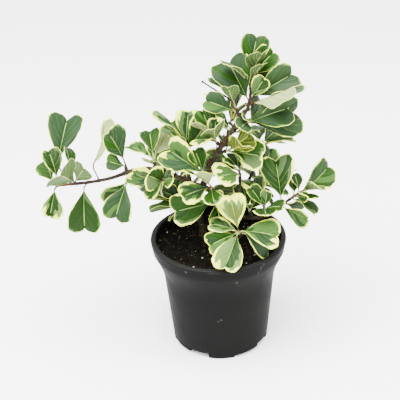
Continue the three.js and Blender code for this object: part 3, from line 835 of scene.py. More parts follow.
class Paintbox:
    """Materials by name, and the shader groups that they share, each built once."""

    NICK_GRAIN = 900
    # A nick begins and is full where distance over radius, with noise of about a half added, is this
    NICK_EDGE: Pair = (1.6, 1.15)

    def __init__(self) -> None:
        """Builds the groups."""
        self.made: dict[str, bpy.types.Material] = {}
        self.drift = self.drift_group()
        self.relief = self.relief_group()
        self.film = self.film_group()
        self.nick = self.nick_group()

    @staticmethod
    def drift_group() -> bpy.types.NodeTree:
        """Value that drifts between two limits.

        Returns:
            The group.
        """
        wires, given = Wiring.group("drift", "ShaderNodeTree", {"Scale": 60, "Low": 0.4, "High": 0.6})
        span = wires.add("ShaderNodeMapRange", {
            "Value": wires.clouds(wires.place(), given["Scale"], 3), "From Min": 0.3, "From Max": 0.7,
            "To Min": given["Low"], "To Max": given["High"]})
        return wires.put_out("Value", "NodeSocketFloat", span["Result"])

    @staticmethod
    def relief_group() -> bpy.types.NodeTree:
        """Normal of a fine grain.

        Returns:
            The group.
        """
        wires, given = Wiring.group("relief", "ShaderNodeTree", {"Scale": 900, "Depth": 0.0001})
        height = wires.clouds(wires.place(), given["Scale"], 4)
        bump = wires.add("ShaderNodeBump", {"Height": height, "Distance": given["Depth"]})
        return wires.put_out("Normal", "NodeSocketVector", bump["Normal"])

    @staticmethod
    def film_group() -> bpy.types.NodeTree:
        """Mask of thin patches, such as dust or lighter bark: 1 in the patches and 0 between them.

        Returns:
            The group.
        """
        usual = {"Scale": 40, "Start": 0.5, "Full": 0.7, "Stretch": 1}
        wires, given = Wiring.group("film", "ShaderNodeTree", usual)
        patches = wires.clouds(wires.stretched(wires.place(), given["Stretch"]), given["Scale"], 5)
        span = wires.add("ShaderNodeMapRange", {
            "Value": patches, "From Min": given["Start"], "From Max": given["Full"]})
        return wires.put_out("Mask", "NodeSocketFloat", span["Result"])

    def nick_group(self) -> bpy.types.NodeTree:
        """Mask of one small ragged mark round a place in the object's own space.

        Returns:
            The group.
        """
        usual = {"X": 0, "Y": 0, "Z": 0, "Radius": 0.001, "Stretch": 1}
        wires, given = Wiring.group("nick", "ShaderNodeTree", usual)
        place = wires.place()
        centre = wires.add("ShaderNodeCombineXYZ", {axis: given[axis] for axis in "XYZ"})["Vector"]
        away = wires.stretched(wires.minus(place, centre), given["Stretch"])
        length = wires.add("ShaderNodeVectorMath", {0: away}, operation="LENGTH")["Value"]
        share = wires.maths("DIVIDE", length, given["Radius"])
        ragged = wires.maths("ADD", share, wires.clouds(place, self.NICK_GRAIN, 3))
        outer, inner = self.NICK_EDGE
        span = wires.add("ShaderNodeMapRange", {"Value": ragged, "From Min": outer, "From Max": inner})
        return wires.put_out("Mask", "NodeSocketFloat", span["Result"])

    def blank(self, name: str, finish: Finish) -> tuple[bpy.types.Material, Wiring, bpy.types.Node]:
        """A new material with the roughness, relief and gloss of a finish.

        Args:
            name: name of the material.
            finish: the finish.

        Returns:
            The material, the wiring of its tree, and its surface node.
        """
        material = bpy.data.materials.new(name)
        material.use_nodes = True
        self.made[name] = material
        wires = Wiring(material.node_tree)
        surface = material.node_tree.nodes["Principled BSDF"]
        low, high = finish.roughness
        wires.feed(surface, {
            "Roughness": wires.use(self.drift, scale=60, low=low, high=high)["Value"],
            "Normal": wires.use(self.relief, scale=finish.grain, depth=finish.depth)["Normal"],
            "Specular IOR Level": finish.specular,
            "Coat Weight": finish.coat,
            "Coat Roughness": 0.3,
        })
        return material, wires, surface

    def plain(self, name: str) -> bpy.types.Material:
        """Material of a named finish, made when it is first asked for.

        Args:
            name: name of the finish.

        Returns:
            The material.
        """
        if name not in self.made:
            _, wires, surface = self.blank(name, FINISHES[name])
            wires.feed(surface, {"Base Color": (*FINISHES[name].colour, 1)})
        return self.made[name]

    def patched(self, name: str, finish: Finish, layers: Sequence[Layer]) -> bpy.types.Material:
        """A material whose colour changes in patches.

        Args:
            name: name of the material.
            finish: its ground colour, roughness and relief.
            layers: colours over it, each with the inputs of its mask.

        Returns:
            The material.
        """
        material, wires, surface = self.blank(name, finish)
        colour = (*finish.colour, 1)
        for over, values in layers:
            mask = wires.use(self.nick if "radius" in values else self.film, **values)["Mask"]
            feeds = {"Factor": mask, "A": colour, "B": (*over, 1)}
            colour = wires.add("ShaderNodeMix", feeds, data_type="RGBA")["Result"]
        wires.feed(surface, {"Base Color": colour})
        return material


# Meshes

def placed(name: str, data: bpy.types.ID) -> bpy.types.Object:
    """Puts a new object in the scene, at the origin.

    Args:
        name: its name.
        data: its mesh, light or camera.

    Returns:
        The object.
    """
    made = bpy.data.objects.new(name, data)
    bpy.context.scene.collection.objects.link(made)
    return made


@dataclass
class Shell:
    """Points and faces of one piece while it is put together. A face of three points ends in -1."""

    name: str
    points: list[np.ndarray] = field(default_factory=list)
    faces: list[np.ndarray] = field(default_factory=list)
    finishes: list[np.ndarray] = field(default_factory=list)
    count: int = 0

    def add(self, points: np.ndarray, faces: np.ndarray, finish: np.ndarray | str) -> None:
        """Adds a part.

        Args:
            points: its points, in millimetres.
            faces: rows of four numbers of its own points.
            finish: name of its finish, or one for each face.
        """
        self.points.append(points)
        self.faces.append(np.where(faces < 0, -1, faces + self.count))
        self.finishes.append(np.full(len(faces), finish) if isinstance(finish, str) else finish)
        self.count += len(points)

    def build(self, material: Callable[[str], bpy.types.Material], smooth: float = 180) -> bpy.types.Object:
        """Makes the piece.

        Args:
            material: gives the material of a finish's name.
            smooth: edges sharper than this many degrees stay sharp.

        Returns:
            The object, at the origin and in metres.
        """
        points, faces = np.vstack(self.points) * MM, np.vstack(self.faces)
        names, slots = np.unique(np.concatenate(self.finishes), return_inverse=True)
        corners = (faces >= 0).sum(axis=1)
        mesh = bpy.data.meshes.new(self.name)
        mesh.vertices.add(len(points))
        mesh.vertices.foreach_set("co", points.ravel())
        mesh.loops.add(int(corners.sum()))
        mesh.loops.foreach_set("vertex_index", faces[faces >= 0])
        mesh.polygons.add(len(faces))
        mesh.polygons.foreach_set("loop_start", np.concatenate([[0], np.cumsum(corners)[:-1]]))
        mesh.polygons.foreach_set("material_index", slots)
        mesh.polygons.foreach_set("use_smooth", np.ones(len(faces), bool))
        for name in names:
            mesh.materials.append(material(str(name)))
        mesh.update(calc_edges=True)
        if smooth < 180:
            mesh.set_sharp_from_angle(angle=math.radians(smooth))
        return placed(self.name, mesh)


def hoops(rings: int, sides: int) -> np.ndarray:
    """Faces between closed rings of points that follow each other.

    Args:
        rings: number of rings.
        sides: number of points in each.

    Returns:
        A row for each face.
    """
    i, j = np.meshgrid(np.arange(rings - 1), np.arange(sides), indexing="ij")
    k = (j + 1) % sides
    corners = [i * sides + j, i * sides + k, (i + 1) * sides + k, (i + 1) * sides + j]
    return np.stack(corners, -1).reshape(-1, 4)


def fan(tip: int, first: int, sides: int, flip: bool = False) -> np.ndarray:
    """Faces of three points between one point and a closed ring.

    Args:
        tip: number of the one point.
        first: number of the ring's first point.
        sides: number of points in the ring.
        flip: whether the faces look the other way.

    Returns:
        A row for each face.
    """
    j = np.arange(sides)
    ends = [first + j, first + (j + 1) % sides]
    return np.stack([np.full(sides, tip), *(ends[::-1] if flip else ends), np.full(sides, -1)], -1)


def tube(path: np.ndarray, radii: np.ndarray, sides: int) -> tuple[np.ndarray, np.ndarray]:
    """Closed round tube with small caps.

    Args:
        path: points of its axis.
        radii: a radius for each point, or one for each point and side.
        sides: number of sides.

    Returns:
        Its points and faces, ring by ring, then the two caps.
    """
    n = len(path)
    along = np.gradient(path, axis=0)
    along /= np.linalg.norm(along, axis=1)[:, None]
    across = np.zeros_like(path)
    helper = np.array([0.31, 0.17, 0.94])
    for i in range(n):
        helper = across[i] = square(helper, along[i])
    around = np.cross(along, across)
    angle = np.arange(sides) / sides * 2 * math.pi
    wide = np.broadcast_to(radii.reshape(n, -1), (n, sides))
    ring = across[:, None] * np.cos(angle)[None, :, None] + around[:, None] * np.sin(angle)[None, :, None]
    points = (path[:, None] + ring * wide[..., None]).reshape(-1, 3)
    ends = len(points)
    foot, head = fan(ends, 0, sides, flip=True), fan(ends + 1, ends - sides, sides)
    return np.vstack([points, path[:1], path[-1:]]), np.vstack([hoops(n, sides), foot, head])


def bud(shell: Shell, start: np.ndarray, way: np.ndarray, length: float, radius: float,
        finish: str = "bud") -> None:
    """Adds a pointed bud or scale with a slight curve.

    Args:
        shell: the piece that it joins.
        start: middle of its foot.
        way: direction that it points to.
        length: its length.
        radius: radius of its foot.
        finish: name of its finish.
    """
    s = np.linspace(0, 1, 9)
    bend = square(UP + way * 0.1, way) * 0.12 * length
    path = start + way * (s * length)[:, None] + bend * (s**2)[:, None]
    points, faces = tube(path, radius * np.sqrt(1 - s * 0.985) * (0.85 + 0.5 * s * (1 - s)), 9)
    shell.add(points, faces, finish)


def lumps(points: np.ndarray, size: float, seed: float, layers: int = 3) -> np.ndarray:
    """Soft noise between about -1 and 1 at points, for lumps of a size in millimetres."""
    return np.array([noise.fractal(Vector(p / size + seed), 0.6, 2.1, layers) for p in points])


@dataclass(frozen=True)
class Nick:
    """A small pale mark on the pot: degrees round it, height, radius, height against width, and shade."""

    degrees: float
    z: float
    radius: float
    stretch: float
    shade: float


NICKS = (
    Nick(-92.6, 43.9, 1.1, 0.6, 0.03), Nick(-89.2, 45.6, 1.2, 0.5, 0.04), Nick(-75, 88.9, 1.4, 0.8, 0.034),
    Nick(-72.6, 84, 1.0, 0.7, 0.018), Nick(-118.5, 99.4, 1.2, 1.0, 0.03), Nick(-97, 102.1, 3.0, 0.2, 0.014),
    Nick(-92, 102.2, 3.0, 0.2, 0.014), Nick(-50.5, 101, 1.1, 2.2, 0.02), Nick(-53, 98, 1.1, 2.8, 0.02),
    Nick(-55.5, 94.6, 0.9, 2.4, 0.016),
)


@dataclass
class Pot:
    """Round nursery pot: tapered wall, flare, lip, and a foot cut into tabs and drain notches.

    A cut of the foot is a row of degrees round the pot, width in degrees, and height. It repeats at
    every quarter turn.
    """

    paints: Paintbox
    gap: tuple[float, float, float] = (45, 58, 1.8)
    drain: tuple[float, float, float] = (62, 25, 4.6)
    bead: float = 3.4
    step: float = 2.0
    # Depth under the pot's top within which the lip's faces get the lighter plastic of the painted
    # highlight
    lip_top: float = 1.3

    DUST = ((0.006, 0.006, 0.0058), {"scale": 9, "start": 0.42, "full": 0.72, "stretch": 3})
    YELLOWED = 0.93
    FOOT_CORNERS = 6
    BEAD_POINTS = 5

    @staticmethod
    def corner(r: float, z: float, radius: float, first: float, last: float, steps: int = 5) -> list[Pair]:
        """Points of a round corner about a centre, from one angle in degrees to another."""
        turns = np.radians(np.linspace(first, last, steps))
        return [(r + radius * math.cos(a), z + radius * math.sin(a)) for a in turns]

    def profile(self) -> tuple[list[Pair], int, list[Pair]]:
        """Closed profile from the middle of the underside out and back in.

        Returns:
            Points of radius and height, how many of the first lie on the foot's underside, and those of
            the outside, from the foot's edge to the lip's bead.
        """
        wall = [tuple(p) for p in cubic(FLARE, np.linspace(0, 1, 13))]
        low, high = (FOOT_RADIUS, 1.2), wall[0]
        side = [(lerp(low[0], high[0], s), lerp(low[1], high[1], s)) for s in np.linspace(0, 1, 16)[1:-1]]
        under = [(0.01, 0), (15, 0), (16, 0.1), (17, 3), (36.4, 3)]
        foot = [(37, 2.9), (37, 0.3), (37.3, 0), (41.7, 0), (42.4, 0.35), low]
        inner = LIP_RADIUS - LIP_WIDTH
        top = wall[-1][1]
        lip = [(LIP_RADIUS - 1.1, top + 1.6), (LIP_RADIUS - 0.9, top + 3.6), (LIP_RADIUS - 0.75, top + 5.6)]
        lip += self.corner(LIP_RADIUS - 0.55, POT_HEIGHT - self.bead + 0.6, 0.55, -80, 0, 4)
        outside = [low, *side, *wall, *lip[:self.BEAD_POINTS]]
        lip += self.corner(LIP_RADIUS - 1.5, POT_HEIGHT - 1.5, 1.5, 0, 90)
        lip += self.corner(inner + 1.2, POT_HEIGHT - 1.2, 1.2, 90, 180)
        lip += [(inner - 0.05, POT_HEIGHT - 4), (inner - 0.1, POT_HEIGHT - LIP_DEPTH - 2)]
        inside = [(r - WALL, z) for r, z in [*side, *wall[:-1]][::-1]]
        base = [(FOOT_RADIUS - WALL + 0.2, FLOOR + 1.4), (FOOT_RADIUS - 3, FLOOR), (0.01, FLOOR)]
        return [*under, *foot, *side, *wall, *lip, *inside, *base], len(under), outside

    def cut_at(self, degrees: float) -> float:
        """Height of the foot's cut.

        Args:
            degrees: angle round the pot.

        Returns:
            The height there, 0 where the foot is whole.
        """
        cut = 0.0
        for centre, width, height in (self.gap, self.drain):
            away = abs((degrees - centre + 45) % 90 - 45)
            cut = max(cut, height * min(max((width / 2 - away) / 0.5 + 0.5, 0), 1))
        return cut

    def turns(self) -> np.ndarray:
        """Where the profile stands round the pot: at even steps, and beside the ends of each cut.

        Returns:
            The angles in degrees, from low to high.
        """
        ends = [centre + side * (width / 2 + beside) + quarter * 90
                for centre, width, _ in (self.gap, self.drain)
                for side in (-1, 1) for beside in (-0.3, 0.3) for quarter in range(4)]
        return np.unique(np.round(np.mod([*np.arange(0, 360, self.step), *ends], 360), 2))

    def marks(self, outside: list[Pair]) -> list[Layer]:
        """Dust and nicks, as layers over the plastic.

        Args:
            outside: radius and height of the pot's outside, from below.

        Returns:
            The layers, the dust first.
        """
        layers = [self.DUST]
        radii, heights = zip(*outside)
        for nick in NICKS:
            r, a = float(np.interp(nick.z, heights, radii)), math.radians(nick.degrees)
            layers.append(((nick.shade, nick.shade, nick.shade * self.YELLOWED), {
                "x": r * math.cos(a) * MM, "y": r * math.sin(a) * MM, "z": nick.z * MM,
                "radius": nick.radius * MM, "stretch": nick.stretch}))
        return layers

    def build(self) -> bpy.types.Object:
        """Makes the pot.

        Returns:
            Its object.
        """
        profile, first, outside = self.profile()
        turns = self.turns()
        points = []
        for turn in turns:
            cut, a = self.cut_at(turn), math.radians(turn)
            for k, (r, z) in enumerate(profile):
                if cut and first < k < first + self.FOOT_CORNERS:
                    z = z + cut * max(0.0, 1 - z / (cut + 2.4))
                points.append((r * math.cos(a), r * math.sin(a), z))
        n, m = len(turns), len(profile)
        i, j = np.meshgrid(np.arange(n), np.arange(m - 1), indexing="ij")
        k = (i + 1) % n
        faces = np.stack([i * m + j, k * m + j, k * m + j + 1, i * m + j + 1], -1).reshape(-1, 4)
        shell = Shell("pot_body")
        # The lip's top faces take the lighter plastic, a painted highlight of the light from above
        lip = np.array([z > POT_HEIGHT - self.lip_top for _, z in profile])
        zones = np.where(lip[faces[:, 0] % m] & lip[faces[:, 3] % m], "lip", "pot")
        shell.add(np.array(points), faces, zones)
        middles = np.arange(n) * m
        self.close(shell, middles, flip=False)
        self.close(shell, middles + m - 1, flip=True)
        marks = self.marks(outside)
        made = {
            "pot": self.paints.patched("black plastic", SMOOTH_PLASTIC, marks),
            # Lighter plastic with dust on the lip's top: a painted highlight
            "lip": self.paints.patched("painted highlight plastic", PAINTED_HIGHLIGHT_PLASTIC, marks[:1]),
        }
        return shell.build(made.__getitem__, smooth=34)

    @staticmethod
    def close(shell: Shell, ring: np.ndarray, flip: bool) -> None:
        """Closes a tiny ring at the axis.

        Args:
            shell: the pot.
            ring: numbers of the ring's points.
            flip: whether the faces look up, not down.
        """
        for second, third in zip(ring[1:-1], ring[2:]):
            trio = [ring[0], second, third] if flip else [third, second, ring[0]]
            shell.faces.append(np.array([[*trio, -1]]))
            shell.finishes.append(np.array(["pot"]))


@dataclass
class PottingMix:
    """Potting mix: an uneven dark top with perlite, bark chips, straw and a few beads on it."""

    paints: Paintbox
    edge: float = LIP_RADIUS - LIP_WIDTH - 0.15
    rings: int = 52
    sides: int = 150
    level_round_stems: float = 9.0
    skirt: tuple[Pair, ...] = ((71, 47.9), (FLOOR + 0.4, FOOT_RADIUS - WALL))

    CLODS = [((0.0048, 0.0038, 0.0022), {"scale": 260, "start": 0.5, "full": 0.68, "stretch": 1})]

    def height(self, x: np.ndarray, y: np.ndarray) -> np.ndarray:
        """Height of the top: level round the stems, with soft dips and clods elsewhere.

        Args:
            x: places to the right.
            y: places to the back.

        Returns:
            The height at each place.
        """
        feet = [plan.foot for plan in LIMBS.values() if plan.foot]
        nearest = np.min([np.hypot(x - u, y - v) for u, v in feet], axis=0)
        away = np.clip((nearest - self.level_round_stems) / 8, 0, 1)
        dip = 1.6 * away * (0.55 + 0.45 * np.sin(0.31 * x + 1.3) * np.cos(0.27 * y - 0.6))
        spots = np.stack([x, y, np.zeros_like(x)], -1)
        clods = 1.1 * lumps(spots, 9, 3.1) + 0.55 * lumps(spots, 2.6, 8.7)
        return MIX_LEVEL - dip + clods * (0.35 + 0.65 * away)

    def build(self) -> list[bpy.types.Object]:
        """Makes the mix and its loose bits.

        Returns:
            The mix, then one object for each kind of bit.
        """
        rings, sides = self.rings, self.sides
        r = np.repeat(self.edge * (np.arange(1, rings + 1) / rings) ** 0.8, sides)
        a = np.tile(np.arange(sides) / sides * 2 * math.pi, rings)
        x, y = np.append(r * np.cos(a), 0), np.append(r * np.sin(a), 0)
        top = np.stack([x, y, self.height(x, y)], -1)
        faces = np.vstack([hoops(rings, sides)[:, [0, 3, 2, 1]], fan(len(top) - 1, 0, sides)])
        open_top = Shell("mix_top")
        open_top.add(top, faces, "dark chip")
        ground = open_top.build(self.paints.plain)
        scatter = Scatter()
        loose = [scatter.build(ground, self.paints, bit) for bit in BITS]
        bpy.data.objects.remove(ground)
        return [self.body(top, faces), *loose]

    def body(self, top: np.ndarray, faces: np.ndarray) -> bpy.types.Object:
        """The mix as a closed body.

        Args:
            top: points of its top, the middle last.
            faces: faces of its top.

        Returns:
            The object.
        """
        sides, outer = self.sides, (self.rings - 1) * self.sides
        rim = top[outer:outer + sides]
        skirt = [rim * (1, 1, 0) + (0, 0, MIX_LEVEL - 4)]
        for z, r in self.skirt:
            skirt.append(rim * (r / self.edge, r / self.edge, 0) + (0, 0, z))
        points = np.vstack([top, *skirt, [[0, 0, self.skirt[-1][0]]]])
        starts = [outer, *(len(top) + k * sides for k in range(len(skirt)))]
        j = np.arange(sides)
        k = (j + 1) % sides
        walls = [np.stack([a + j, b + j, b + k, a + k], -1) for a, b in zip(starts, starts[1:])]
        under = fan(len(points) - 1, starts[-1], sides, flip=True)
        shell = Shell("mix_body")
        shell.add(points, np.vstack([faces, *walls, under]), "mix")
        material = self.paints.patched("moist mix", MOIST_MIX, self.CLODS)
        return shell.build(lambda _: material)


@dataclass(frozen=True)
class Bit:
    """A kind of loose bit: finish, bits in a square metre, half sizes in millimetres, flatness and seed."""

    name: str
    finish: str
    density: float
    smallest: float
    largest: float
    flatness: float
    seed: int


BITS = (
    Bit("perlite", "perlite", 3000, 0.3, 1.05, 0.75, 3),
    Bit("fine_perlite", "perlite", 16000, 0.12, 0.3, 0.8, 9),
    Bit("bark_chips", "bark chip", 26000, 0.6, 2.3, 0.38, 4),
    Bit("dark_chips", "dark chip", 90000, 0.4, 1.5, 0.5, 5),
    Bit("straw", "straw", 3500, 0.5, 1.8, 0.14, 6),
    Bit("moss_bits", "moss bit", 1800, 0.5, 1.3, 0.5, 7),
    Bit("beads", "amber bead", 700, 0.6, 0.9, 0.95, 8),
)


class Scatter:
    """Geometry nodes that strew irregular bits over a mesh."""

    TURN = (0.9, 0.9, 6.283)
    SLIMNESS = 0.62
    ROUGHNESS = 900.0

    def __init__(self) -> None:
        """Builds the node tree."""
        inputs = {
            "Geometry": "NodeSocketGeometry", "Density": 0.0, "Smallest": 0.0, "Largest": 0.0,
            "Flatness": 0.0, "Seed": "NodeSocketInt", "Finish": "NodeSocketMaterial",
        }
        wires, given = Wiring.group("strewn bits", "GeometryNodeTree", inputs)
        seed = given["Seed"]
        strewn = wires.add("GeometryNodeDistributePointsOnFaces", {
            "Mesh": given["Geometry"], "Density": given["Density"], "Seed": seed})
        ball = wires.add("GeometryNodeMeshIcoSphere", {"Radius": 1.0, "Subdivisions": 2})
        turn = wires.add("FunctionNodeRandomValue", {
            "Max": self.TURN, "Seed": seed}, data_type="FLOAT_VECTOR")
        size = wires.add("FunctionNodeRandomValue", {
            2: given["Smallest"], 3: given["Largest"], "Seed": seed}, data_type="FLOAT")
        shape = wires.add("ShaderNodeCombineXYZ", {"X": 1.0, "Y": self.SLIMNESS, "Z": given["Flatness"]})
        spread = wires.add("GeometryNodeInstanceOnPoints", {
            "Points": strewn["Points"], "Instance": ball["Mesh"], "Rotation": turn[0],
            "Scale": wires.times(shape["Vector"], size[1])})
        real = wires.add("GeometryNodeRealizeInstances", {"Geometry": spread["Instances"]})
        place = wires.add("GeometryNodeInputPosition")["Position"]
        rough = wires.add("ShaderNodeTexNoise", {"Vector": place, "Scale": self.ROUGHNESS, "Detail": 1.0})
        amount = wires.times(wires.minus(rough["Color"], (0.5, 0.5, 0.5)), given["Smallest"])
        bent = wires.add("GeometryNodeSetPosition", {"Geometry": real["Geometry"], "Offset": amount})
        done = wires.add("GeometryNodeSetMaterial", {
            "Geometry": bent["Geometry"], "Material": given["Finish"]})
        self.tree = wires.put_out("Geometry", "NodeSocketGeometry", done["Geometry"])

    def build(self, ground: bpy.types.Object, paints: Paintbox, bit: Bit) -> bpy.types.Object:
        """Strews one kind of bit.

        Args:
            ground: the mesh that the bits lie on.
            paints: the materials.
            bit: the kind of bit.

        Returns:
            The bits as one plain mesh object.
        """
        modifier = ground.modifiers.new(bit.name, "NODES")
        modifier.node_group = self.tree
        keys = {s.name: s.identifier for s in self.tree.interface.items_tree if s.in_out == "INPUT"}
        given = {"Density": float(bit.density), "Smallest": bit.smallest * MM, "Largest": bit.largest * MM,
                 "Flatness": bit.flatness, "Seed": bit.seed, "Finish": paints.plain(bit.finish)}
        for label, value in given.items():
            modifier[keys[label]] = value
        ground.update_tag()
        view = bpy.context.evaluated_depsgraph_get()
        mesh = bpy.data.meshes.new_from_object(ground.evaluated_get(view), depsgraph=view)
        ground.modifiers.remove(modifier)
        mesh.name = bit.name
        return placed(bit.name, mesh)


@dataclass
class Bark:
    """Bark of the stems and boughs, with lumps, pores and leaf scars."""

    grower: Grower
    paints: Paintbox
    sides: int = 22
    step: float = 0.75
    scar_gap: float = 7.5
    scaly: str = "upper_bough"

    LAYERS = [
        ((0.009, 0.007, 0.004), {"scale": 120, "start": 0.42, "full": 0.62, "stretch": 3}),
        ((0.07, 0.062, 0.038), {"scale": 420, "start": 0.6, "full": 0.72, "stretch": 1}),
        ((0.04, 0.018, 0.009), {"scale": 45, "start": 0.62, "full": 0.75, "stretch": 1}),
    ]
    SCALES = {"bark": 0.55, "dry scale": 0.33, "red shoot": 0.12}

    def axis(self, name: str) -> tuple[np.ndarray, np.ndarray]:
        """Axis of a limb, led on into the mix or into the limb that carries it.

        Args:
            name: name of the limb.

        Returns:
            Points of the axis, and the radius at each.
        """
        limb, plan = self.grower.limbs[name], LIMBS[name]
        start, first = limb.at(0), limb.tangent(0)
        rough = cubic(limb.points, np.linspace(0, 1, 60))
        length = float(np.linalg.norm(np.diff(rough, axis=0), axis=1).sum())
        t = np.linspace(0, 1, max(12, int(length / self.step)))
        path, radius = cubic(limb.points, t), limb.radius_at(t)
        if plan.foot:
            drop = np.linspace(7, 0.7, 8)
            path = np.vstack([start - UP * drop[:, None], path])
            return path, np.concatenate([radius[0] * (1 + 0.05 * drop**1.3), radius])
        sunk = 0.9 if plan.share < 1 else 0.6
        back = float(self.grower.limbs[plan.parent].radius_at(plan.share)) * sunk
        path = np.vstack([start - first * back, start - first * back / 2, path])
        radius = np.concatenate([radius[:1] * 1.2, radius[:1] * 1.16, radius])
        s = np.concatenate([[0, 0], t]) * length
        return path, radius * (1 + 0.22 * np.exp(-((s / (1.4 * radius[0])) ** 2)))

    def limb(self, shell: Shell, name: str, number: int) -> None:
        """Adds one limb.

        Args:
            shell: the piece that it joins.
            name: name of the limb.
            number: its number, for its own lumps.
        """
        path, radius = self.axis(name)
        s = np.concatenate([[0], np.cumsum(np.linalg.norm(np.diff(path, axis=0), axis=1))])
        scars = np.zeros_like(s)
        for k, place in enumerate(np.arange(6.0, s[-1] - 3, self.scar_gap)):
            away = s - (place + 1.6 * math.sin(2.4 * k + number))
            scars += 0.1 * np.exp(-((away / 0.55) ** 2)) - 0.05 * np.exp(-(((away - 0.9) / 0.5) ** 2))
        tip = np.clip((s[-1] - s) / (0.8 * radius[-1]), 0, 1)
        radius = radius * (1 + scars) * (0.35 + 0.65 * np.sqrt(1 - (1 - tip) ** 2))
        around, along = np.meshgrid(np.arange(self.sides) / self.sides * 2 * math.pi, s)
        spots = np.stack([2.2 * np.cos(around), 2.2 * np.sin(around), along * 0.8], -1).reshape(-1, 3)
        coarse, fine = lumps(spots, 3.2, number * 5.3), lumps(spots * (1, 1, 2), 0.9, number * 3.7, 2)
        bumps = (0.05 * coarse + 0.035 * fine).reshape(len(s), -1)
        points, faces = tube(path, radius[:, None] * (1 + bumps), self.sides)
        shell.add(points, faces, "bark")
        self.scales(shell, name, number)

    def scales(self, shell: Shell, name: str, number: int) -> None:
        """Adds the dry scales and small side buds of a limb, which are dense on the upper bough.

        Args:
            shell: the piece that they join.
            name: name of the limb.
            number: its number, for its own random draws.
        """
        limb, rng = self.grower.limbs[name], np.random.default_rng(number)
        count, smallest, largest = (58, 2.8, 5.4) if name == self.scaly else (5, 1.6, 2.4)
        for share in np.linspace(0.28, 0.98, count):
            way = limb.tangent(share)
            out = turned(square(RIGHT, way), way, rng.uniform(0, 2 * math.pi))
            start = limb.at(share) + out * float(limb.radius_at(share)) * 0.75
            size = rng.uniform(smallest, largest)
            bud(shell, start, unit(way * 1.1 + out), size, size * 0.22, pick(rng, self.SCALES))

    def build(self) -> bpy.types.Object:
        """Makes the bark of all limbs.

        Returns:
            One object for all of it.
        """
        shell = Shell("bark")
        for number, name in enumerate(self.grower.limbs):
            self.limb(shell, name, number + 1)
        material = self.paints.patched("young bark", YOUNG_BARK, self.LAYERS)
        return shell.build(lambda name: material if name == "bark" else self.paints.plain(name))


class Style(Enum):
    """How far the green reaches on a leaf: low and high limit of all green, and of the dark green in it."""

    SLATE = (0.93, 1.0, 0.88, 1.0)
    DARK = (0.84, 0.98, 0.85, 1.0)
    GREEN = (0.74, 0.97, 0.72, 1.0)
    MOTTLED = (0.45, 0.96, 0.3, 1.0)
    PALE = (0.25, 0.88, 0.2, 0.9)


# O and W are leaves that show their undersides, the first an olive one
LETTERS = {
    "B": Style.SLATE, "D": Style.DARK, "G": Style.GREEN, "M": Style.MOTTLED, "P": Style.PALE,
    "O": Style.GREEN, "W": Style.GREEN,
}
UNDERSIDES = {
    "B": ("grey green", "shaded edge", "shaded edge"),
    "O": ("olive", "lime cream", "lime cream"),
    "W": ("underside green", "underside cream", "brown rib"),
}
DUSKY = ("top", "top_right", "top_left")
OTHERS = {"D": 0.3, "G": 0.32, "M": 0.32, "P": 0.06}
GREENS = {
    Style.PALE: [("olive", "soft green"), ("soft green", "olive")],
    Style.SLATE: [
        ("blue green", "slate green"), ("slate green", "blue green"), ("blue green", "leaf green")],
}
USUAL_GREENS = [("deep green", "leaf green"), ("leaf green", "deep green"), ("blue green", "leaf green")]
# A letter for each leaf of a sprig as the photo shows it: the aimed ones, then those of the spiral
STYLES = {
    "front": "PMDMMG", "rim_left": "G", "fork": "M", "fork_front": "W", "left_end": "WDBGBBMBG",
    "left_top": "DB", "left_under": "DG", "bough_under": "MM", "mid_left": "DW", "centre": "MPDM",
    "right_low": "M", "right_dark": "DD", "right_end": "DGGMG", "top": "BBBGBWDBBB", "top_right": "BBB",
    "top_left": "DBB", "middle_left": "DMW", "middle_right": "OMGO",
}


@dataclass
class Look:
    """Colours of one leaf and how far they reach."""

    style: Style
    shades: list[list[str]]
    grey: str
    margin: str
    side_vein: str
    under: tuple[str, str, str]


